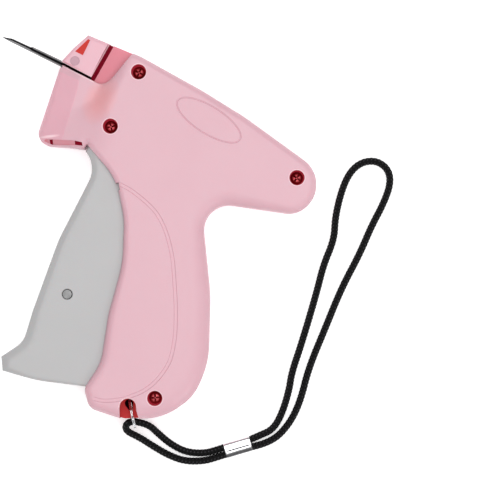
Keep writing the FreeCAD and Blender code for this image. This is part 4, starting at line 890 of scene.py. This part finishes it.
def right_half():
    """The half that the tool lies on: plain, with the head sunk round the knob. It is made like the
    left half, with its face up, and turned over."""
    plan = casing_plan(DEPTH)
    recess = [(-40.0, 6.6), (STEP_END, 6.6), (STEP_END, 40.0), (-40.0, 40.0)]
    low, high = ROD_WAY_SIDES
    plan.follow(recess, 1.0)
    plan.follow(circle(KNOB, KNOB_RADIUS, 24))
    plan.rim(divided(recess[:3], 0.8, False), 0.4, False, (-1,))
    plan.follow([(-40.0, low), (ROD_WAY_END, low), (ROD_WAY_END, high), (-40.0, high)], 1.0)
    short_end = turned([(WEB_CUT, -WEB_CUT), (WEB_CUT, WEB_CUT)], LANYARD, LANYARD_TURN)
    plan.follow(short_end, 0.8, closed=False)

    def parting(xy):
        x, y = xy.T
        way = (y > low - 0.05) & (y < high + 0.05) & (x < ROD_WAY_END + 0.1)
        return np.where(way, ROD_WAY_TOP, MIDDLE)

    def region_of(xy):
        region = shared_regions(plan, xy)
        region[(region == "web") & (lanyard_reach(xy)[1] > WEB_CUT)] = "open"
        region[inside(xy, recess)] = "recess"
        region[apart(xy, KNOB) < KNOB_RADIUS] = "open"
        return region

    # Walls round openings and hollows take the dark red inside finish: painted shade.
    regions = {
        "wall": (parting, plan.top, "casing", "casing"),
        "hollow": (lambda xy: plan.top(xy) - WALL, plan.top, "casing", "inside"),
        "window": (WINDOW_TOP, plan.top, "casing", "inside"),
        "web": (MIDDLE, WEB_TOP, "web", "web"),
        "recess": (parting, lambda xy: HEAD_BACK - quarter(nearest(xy, plan.outline)[0], 0.8, 0.8),
                   "casing", "casing"),
        "open": (None, None, None, "inside"),
    }
    points, faces, paint = plan.mesh(regions, region_of)
    over = points * (1, 1, -1) + (0, 0, DEPTH)
    shape = piece("right_shell_moulded", over, [face[::-1] for face in faces], paint)
    return built(shape, "casing", "casing", "right_shell")


def lanyard_shadow_floor():
    """The thin floor that closes the lanyard recess on the side the tool lies on, in the near-black finish:
    painted shadow, so that the recess and its eye read dark.
    """
    quarter_turn = math.pi / 2
    shape = (arc(CHANNEL, -quarter_turn, quarter_turn, 14, along=1.0)
             + arc(CHANNEL, quarter_turn, 3 * quarter_turn, 14))
    plan = turned(shape, LANYARD, LANYARD_TURN)
    floor = loft([[(x, y, z) for x, y in plan] for z in RECESS_FLOOR])
    return built(outward(piece("lanyard_recess_floor", *floor, "deep")), "casing", "casing")


def nose_plate():
    """The separate plate over the needle's seat, with the sunk mark."""
    plan = Plan(rounded(CASING), HEAD_TOP, 1.2)
    plan.follow(PLATE_CUT, 0.7)
    plan.follow(ARROW, 0.7)
    plan.follow(circle(KNOB, KNOB_RADIUS, 28))
    plan.rim(divided(PLATE_CUT[:3], 0.7, False), 0.2, False)
    plan.follow(beside(PLATE_CUT[:3], 0.4, False), closed=False)
    plan.rim(divided(ARROW, 0.7), 0.15, sides=(-1, 1))

    def region_of(xy):
        x, y = xy.T
        region = np.where(inside(xy, PLATE_CUT), "plate", "open").astype(object)
        region[(region == "open") & (x > SLIT_SHADOW_BED[1][0])] = "slot"
        region[(region == "open") & (y < PLATE_CUT[0][1])] = "slit"
        region[(region == "plate") & (nearest(xy, PLATE_CUT[:3], False)[0] < 0.4)] = "edge"
        region[inside(xy, ARROW)] = "mark"
        region[apart(xy, KNOB) < KNOB_RADIUS] = "open"
        return region

    def underside(xy):
        return np.where(xy[:, 1] < ROD_WAY_SIDES[1] + 0.1, ROD_WAY_TOP, MIDDLE)

    # The strip along the slot's edge takes the lighter edge finish, a painted highlight; the slot's walls are
    # dark red and the slit's near-black: painted shade and painted shadow.
    regions = {
        "plate": (underside, plan.top, "plate", "plate"),
        "edge": (underside, plan.top, "edge", "casing"),
        "mark": (MIDDLE, HEAD_TOP - MARK_SUNK, "mark", "mark"),
        "open": (None, None, None, "casing"),
        "slot": (None, None, None, "inside"),
        "slit": (None, None, None, "deep"),
    }
    shape = piece("nose_plate_moulded", *plan.mesh(regions, region_of))
    return built(shape, "casing", "casing", "nose_plate", "arrow_mark")


def trigger():
    """The grey trigger: two cheeks and a front wall, moulded as one channel, bevelled along its front."""
    side, cheek, front_wall, pivot_hole = 22.0, 20.0, 2.4, 4.45
    plan = Plan(rounded(TRIGGER), side, bevelled=1.0)
    front = divided(TRIGGER_FRONT, 1.0, False)
    hole = circle(PIN, PIN_HOLE, 32)
    plan.follow(circle((0, 0), pivot_hole))
    plan.follow(circle((0, 0), 6.4))
    plan.follow(hole)
    plan.rim(hole, 0.3, sides=(-1,))
    plan.extra.append(beside(front, front_wall, False))

    def region_of(xy):
        region = np.where(nearest(xy, front, False)[0] < front_wall, "front", "cheek").astype(object)
        region[(apart(xy, (0, 0)) < pivot_hole) | (apart(xy, PIN) < PIN_HOLE)] = "open"
        return region

    regions = {
        "front": (MIDDLE, plan.top, "trigger", "trigger"),
        "cheek": (lambda xy: cheek - (side - plan.top(xy)) * 0.6, plan.top, "trigger", "trigger"),
        "open": (None, None, None, "trigger"),
    }
    points, faces, _ = plan.mesh(regions, region_of)
    faces = [face for face in faces if any(abs(points[v][2] - MIDDLE) > 1e-6 for v in face)]
    other_points = points * (1, 1, -1) + (0, 0, DEPTH)
    other_faces = [[v + len(points) for v in face[::-1]] for face in faces]
    shape = piece("trigger_moulded", np.vstack([points, other_points]), faces + other_faces, "trigger")
    return built(shape, "trigger", "trigger", "trigger")


# The metal pieces


def one_screw():
    """A pan-head screw with a cross recess, standing on its own axis, in millimetres."""
    crown, soft_edge, cross_rim, cross_depth = 19.2, 1.0, 18.9, 1.3
    head = circle((0, 0), 2.7, 44)
    outline = np.column_stack([head, np.full(len(head), soft_edge)])
    plan = Plan(outline, lambda xy: crown - 0.05 * (xy ** 2).sum(1), 0.5)
    arm, half = 1.75, 0.42
    corner = [(arm, -half), (arm, half), (half, half)]
    cross = np.vstack([turned(corner, (0.0, 0.0), k * math.pi / 2) for k in range(4)])
    plan.follow(cross, 0.35)

    def pit(xy):
        return cross_rim - cross_depth * (1 - np.clip(np.hypot(*xy.T) / 2.0, 0, 1) ** 1.5)

    regions = {
        "head": (WELL_FLOOR, plan.top, "screw", "screw"),
        "cross": (WELL_FLOOR, pit, "screw", "screw"),
    }
    points, faces, _ = plan.mesh(regions, lambda xy: np.where(inside(xy, cross), "cross", "head"))
    stem, stem_faces = loft([[(radius * math.cos(t), radius * math.sin(t), z) for t in turns(24)]
                             for radius, z in ((1.5, 17.05), (1.5, 6.2), (0.3, 5.0))])
    faces = faces + [[v + len(points) for v in face] for face in stem_faces]
    return piece("screw_pattern", np.vstack([points, stem]), faces, "screw")


def instanced(name, pattern, places, turn_step, finish):
    """Geometry Nodes copy a pattern to each place, each turned a step further, and realise them."""
    tree = bpy.data.node_groups.new(name, "GeometryNodeTree")
    kinds = {"Geometry": "Geometry", "Pattern": "Object", "Turn": "Float", "Finish": "Material"}
    named = {key: tree.interface.new_socket(key, in_out="INPUT", socket_type="NodeSocket" + kind)
             for key, kind in kinds.items()}
    tree.interface.new_socket("Geometry", in_out="OUTPUT", socket_type="NodeSocketGeometry")
    source, info, index, turn, angle, scatter, real, paint, result = (
        tree.nodes.new(kind) for kind in (
            "NodeGroupInput", "GeometryNodeObjectInfo", "GeometryNodeInputIndex", "ShaderNodeMath",
            "ShaderNodeCombineXYZ", "GeometryNodeInstanceOnPoints", "GeometryNodeRealizeInstances",
            "GeometryNodeSetMaterial", "NodeGroupOutput"))
    turn.operation = "MULTIPLY"
    for start, outlet, end, inlet in (
            (source, "Geometry", scatter, "Points"), (source, "Pattern", info, "Object"),
            (info, "Geometry", scatter, "Instance"), (index, 0, turn, 0), (source, "Turn", turn, 1),
            (turn, 0, angle, "Z"), (angle, 0, scatter, "Rotation"), (scatter, 0, real, 0),
            (real, 0, paint, "Geometry"), (source, "Finish", paint, "Material"), (paint, 0, result, 0)):
        tree.links.new(start.outputs[outlet], end.inputs[inlet])
    mesh = bpy.data.meshes.new(name + "_places")
    mesh.from_pydata([(x * MM, y * MM, 0.0) for x, y in places], [], [])
    carrier = placed(name + "_places", mesh)
    modifier = carrier.modifiers.new("scatter", "NODES")
    modifier.node_group = tree
    for key, value in (("Pattern", pattern), ("Turn", turn_step), ("Finish", finish)):
        modifier[named[key].identifier] = value
    bpy.context.view_layer.update()
    done = bpy.data.meshes.new_from_object(carrier.evaluated_get(bpy.context.evaluated_depsgraph_get()))
    done.name = name
    bpy.data.objects.remove(carrier)
    bpy.data.objects.remove(pattern)
    return placed(name, done)


def screws():
    shape = instanced("casing_screws_driven", one_screw(), SCREWS, 0.7, FINISHES["screw"])
    return built(shape, "casing", "screws", "casing_screws")


def needle():
    """A slotted tube, its upper half ground away towards the tip into an open scoop. Each station is a
    place along it and the angles, in degrees, between which the wall is left."""
    tip, count, ground = NEEDLE_TIP, 24, 3.6
    stations = [(x, 38, 322) for x in (NEEDLE_BACK, -30.0, -38.0, tip + 14.2)]
    stations += [(tip + 13.7, 60, 326), (tip + 13.3, 120, 337), (tip + 12.8, 142, 336), (tip + 8.0, 146, 334),
                 (tip + 4.6, 150, 332), (tip + ground, 158, 322), (tip + 2.4, 182, 298),
                 (tip + 1.2, 206, 270), (tip, 222, 240)]
    rings = []
    for x, first, last in stations:
        near = np.clip((tip + ground - x) / ground, 0, 1)
        angles = np.radians(np.linspace(first, last, count))
        outer = NEEDLE_RADIUS - 0.25 * near + 0.12 * np.clip((x + 50.0) / 12.0, 0, 1)
        bore = NEEDLE_BORE + 0.06 * near
        rings.append([(x, NEEDLE_AXIS + r * math.sin(t), MIDDLE + r * math.cos(t))
                      for r, row in ((outer, angles), (bore, angles[::-1])) for t in row])
    points, faces = loft(rings)
    paint = ["needle"] * len(faces)
    # The bore, and the whole tube along its first length where it lies in the slit, take the near-black bore
    # finish: painted shade.
    for k in range(len(stations) - 1):
        for i in range(count if k else 0, 2 * count - 1):
            paint[k * 2 * count + i] = "bore"
    shape = outward(piece("needle_ground", points, faces, paint))
    return built(shape, "casing", "needle", "needle")


def push_rod():
    """The round steel rod on the slide that drives the tag out through the needle."""
    corners = [Vector(c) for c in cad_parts["push_rod"].bound_box]
    low, high = (end(c.x for c in corners) / MM for end in (min, max))
    stations = ((low, 0.28), (low + 0.1, 0.42), (low + 0.3, ROD_RADIUS), (high - 0.1, ROD_RADIUS),
                (high, 0.4))
    rod = loft([[(x, ROD_AXIS + r * math.sin(t), MIDDLE + r * math.cos(t)) for t in turns(20)]
                for x, r in stations])
    return built(outward(piece("push_rod_ground", *rod, "steel")), "slide", "steel", "push_rod")


def lanyard_ring():
    """A split ring of flattened wire wound twice, standing on edge through the web's eye."""
    radius, pitch, lean, start = 5.7, 0.54, math.radians(-52.0), math.radians(-70.0)
    half_wide, half_thick, squareness = 0.5, 0.26, 0.6
    along = np.array([math.cos(lean), math.sin(lean), 0.0])
    across = np.array([-math.sin(lean), math.cos(lean), 0.0])
    centre = np.array([58.9, -103.0, 12.2]) + along * radius

    def squared(share):
        return math.copysign(abs(share) ** squareness, share)

    corners = [(half_wide * squared(math.cos(t)), half_thick * squared(math.sin(t))) for t in turns(16)]
    rings = []
    for part in np.linspace(0, 1, 170):
        angle = start + 4 * math.pi * part
        out = math.cos(angle) * along + math.sin(angle) * np.array([0.0, 0.0, 1.0])
        shift = pitch * (smooth((part - 0.42) / 0.16) - 0.5)
        rings.append([centre + out * (radius + a) + across * (shift + b) for a, b in corners])
    shape = outward(piece("lanyard_split_ring", *loft(rings), "chrome", 50.0))
    return built(shape, "strap", "ring", "lanyard_ring")


def ferrule():
    """The folded metal sleeve: smooth, with one seam along it and its lap below."""
    left = (np.array(SMALL_LOOP[0]) + np.array(SMALL_LOOP[-1])) / 2
    right = (np.array(WRIST_LOOP[0]) + np.array(WRIST_LOOP[-1])) / 2
    middle, along = (left + right) / 2, (right - left) / np.linalg.norm(right - left)
    side = np.cross((0, 0, 1), along)
    half, wide, tall, power, inner = 5.9, 3.25, 2.2, 3.2, 0.82
    seam, lap = -0.45, -1.7
    ends = [0.86, 0.9, 0.96, 0.985, 1.0]
    shares = np.concatenate([-np.array(ends[::-1]), np.linspace(-0.8, 0.8, 13), ends])
    over = wide * np.sin(np.linspace(-math.pi / 2, math.pi / 2, 53))
    under = wide * np.sin(np.linspace(math.pi / 2, -math.pi / 2, 27))[1:-1]

    def section(share, scale=1.0):
        lip = 0.12 * (1 - math.sqrt(max(0.0, 1 - max(0.0, (abs(share) - 0.9) / 0.1) ** 2)))
        ring = []
        for index, x in enumerate(np.concatenate([over, under])):
            y = (tall - lip) * (1 - min(1.0, abs(x) / wide) ** power) ** (1 / power)
            if index < len(over):
                crease = math.exp(-((x - seam) / 0.16) ** 2) * (abs(share) < 0.87)
                y -= min(y, 0.22 * crease + 0.3 * smooth((lap - x) / 0.2))
            else:
                y = -y
            ring.append(middle + along * half * share + side * x * scale * (1 - lip / wide)
                        + np.array([0, 0, y * scale]))
        return ring

    bore = [section(share, inner) for share in (1.0, inner, -inner, -1.0)]
    points, faces = loft([section(share) for share in shares] + bore, closed=True)
    # The seam and the lap take the darker lap finish: painted shade.
    paint = ["chrome"] * len(faces)
    for k in range(len(shares) - 1):
        for i, x in enumerate((over[1:] + over[:-1]) / 2):
            if x < lap - 0.05 or (abs(x - seam) < 0.2 and abs(shares[k] + shares[k + 1]) < 1.72):
                paint[k * (len(over) + len(under)) + i] = "lap"
    shape = outward(piece("strap_ferrule_crimped", points, faces, paint, 40.0))
    return built(shape, "strap", "ferrule", "strap_ferrule")


# The cord


def curve_of(name, route):
    """The points of a smooth curve whose control points are the route, ends included."""
    curve = bpy.data.curves.new(name, "CURVE")
    curve.dimensions = "3D"
    curve.resolution_u = 40
    spline = curve.splines.new("NURBS")
    spline.points.add(len(route) - 1)
    for point, place in zip(spline.points, route):
        point.co = (*place, 1.0)
    spline.order_u = 3
    spline.use_endpoint_u = True
    shape = placed(name, curve)
    mesh = bpy.data.meshes.new_from_object(shape)
    points = np.array([v.co[:] for v in mesh.vertices])
    bpy.data.objects.remove(shape)
    bpy.data.meshes.remove(mesh)
    return points


def spaced(points, step):
    """Points spread evenly along a line, and how far along it each lies."""
    reach = np.concatenate([[0], np.cumsum(np.linalg.norm(np.diff(points, axis=0), axis=1))])
    marks = np.linspace(0, reach[-1], max(2, round(reach[-1] / step)) + 1)
    return np.stack([np.interp(marks, reach, points[:, k]) for k in range(3)], 1), marks


def braided_tube(name, route, phase):
    """Cord of six pairs of strands that cross over and under each other. lay is the length in which a
    strand goes once round."""
    path, marks = spaced(curve_of(name + "_line", route), 0.3)
    around, strands, lay, uv_length = 32, 6, 9.6, 30.0
    valley, relief, hidden = CORD_DIAMETER / 2 - 0.18, 0.22, 0.34
    angles = turns(around)
    ahead, behind = np.roll(path, -1, 0), np.roll(path, 1, 0)
    ahead[-1], behind[0] = path[-1], path[0]
    along = (ahead - behind) / np.linalg.norm(ahead - behind, axis=1)[:, None]
    rings, crown = [], []

    def rounded_strand(place):
        return np.sqrt(np.clip(1 - (2 * (place % 1) - 1) ** 2, 0, 1))

    for place, way, mark in zip(path, along, marks):
        side = np.cross((0, 0, 1), way)
        side /= np.linalg.norm(side)
        up = np.cross(way, side)
        left = strands * (angles / (2 * math.pi) + mark / lay) + phase
        right = strands * (angles / (2 * math.pi) - mark / lay)
        over = np.cos(math.pi * (np.floor(left) + right))
        under = -np.cos(math.pi * (np.floor(right) + left))
        height = np.maximum(rounded_strand(left) * (1 - hidden + hidden * over),
                            rounded_strand(right) * (1 - hidden + hidden * under))
        # crown marks where the cord's finish paints its glints: the crowns of the left-hand strands,
        # brightest where they lie over.
        crown.append(rounded_strand(left) * (0.5 + 0.5 * over))
        out = valley + relief * height
        rings.append(place + side * (out * np.cos(angles))[:, None] + up * (out * np.sin(angles))[:, None])
    shape = outward(piece(name, *loft(rings), "cord", 80.0, merge=False))
    mesh = shape.data
    mesh.attributes.new("crown", "FLOAT", "POINT").data.foreach_set("value", np.concatenate(crown))
    layer = mesh.uv_layers.new(name="along")
    for polygon in mesh.polygons:
        seam = {v % around for v in polygon.vertices} >= {0, around - 1} and len(polygon.vertices) == 4
        for loop in polygon.loop_indices:
            v = mesh.loops[loop].vertex_index
            turn = 1.0 if seam and v % around == 0 else (v % around) / around
            layer.data[loop].uv = (turn, marks[v // around] / uv_length)
    return shape, path


def strap():
    sleeve = ferrule()
    small, small_path = braided_tube("strap_small_loop_braid", SMALL_LOOP, 0.0)
    built(small, "strap", "cord", "strap_small_loop")
    wrist, wrist_path = braided_tube("strap_wrist_loop_braid", WRIST_LOOP, 0.35)
    built(wrist, "strap", "cord", "strap_wrist_loop")
    small_path[0] * MM
    small_path * MM
    wrist_path[0] * MM
    wrist_path * MM


def carried_over():
    """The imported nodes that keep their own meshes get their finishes: steel, unless named here."""
    finishes = dict.fromkeys(("needle_hub", "slide", "link", "feed_wheel", "feed_pawl"), "inner")
    finishes.update(trigger_pin="pin", needle_lock_knob="knob")
    for name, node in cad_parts.items():
        node.data.materials.clear()
        node.data.materials.append(FINISHES[finishes.get(name, "steel")])


# Stage, light and camera


def stage():
    mesh = bpy.data.meshes.new("floor")
    reach = 3.0
    corners = [(-reach, -reach, 0), (reach, -reach, 0), (reach, reach, 0), (-reach, reach, 0)]
    mesh.from_pydata(corners, [], [(0, 1, 2, 3)])
    floor = placed("floor", mesh)
    floor.location.z = -0.1 * MM
    finish = Finish("floor_paper", Roughness=0.9, Specular_IOR_Level=0.2, Base_Color=(0.93, 0.93, 0.93, 1.0),
                    Emission_Color=(1.0, 1.0, 1.0, 1.0), Emission_Strength=0.42)
    mesh.materials.append(finish.material)


def lamp(name, place, size, power, aim=(0.03, -0.02, 0.0)):
    light = bpy.data.lights.new(name, "AREA")
    light.shape = "DISK"
    light.size = size
    light.energy = power
    shape = placed(name, light)
    shape.location = place
    shape.rotation_euler = (Vector(aim) - Vector(place)).to_track_quat("-Z", "Y").to_euler()


def lights():
    world = bpy.data.worlds.new("studio")
    world.use_nodes = True
    ground = world.node_tree.nodes["Background"]
    ground.inputs["Color"].default_value = (1.0, 1.0, 1.0, 1.0)
    ground.inputs["Strength"].default_value = 0.44
    bpy.context.scene.world = world
    lamp("key_light", (0.02, 0.12, 1.1), 1.0, 8.0)
    lamp("fill_light", (0.75, -0.35, 0.7), 0.4, 1.8)


CAMERA_TURN = math.radians(26.0)
CAMERA_PLACE, SEEN_WIDTH, SEEN_LEVEL, SENSOR = (0.0770, -0.02143, 1.22), 0.215, 0.02, 36.0


def camera():
    """A long lens straight above, turned so that the barrel slants across the view."""
    lens = bpy.data.cameras.new("camera")
    lens.sensor_width = SENSOR
    lens.lens = SENSOR * (CAMERA_PLACE[2] - SEEN_LEVEL) / SEEN_WIDTH
    lens.clip_start, lens.clip_end = 0.05, 20.0
    shape = placed("camera", lens)
    shape.location = CAMERA_PLACE
    shape.rotation_euler = (0.0, 0.0, CAMERA_TURN)
    bpy.context.scene.camera = shape


bpy.context.scene.view_settings.view_transform = "Standard"
camera()
strap()
stage()
lights()
carried_over()
left_half()
right_half()
lanyard_shadow_floor()
nose_plate()
push_rod()
trigger()
screws()
needle()
lanyard_ring()
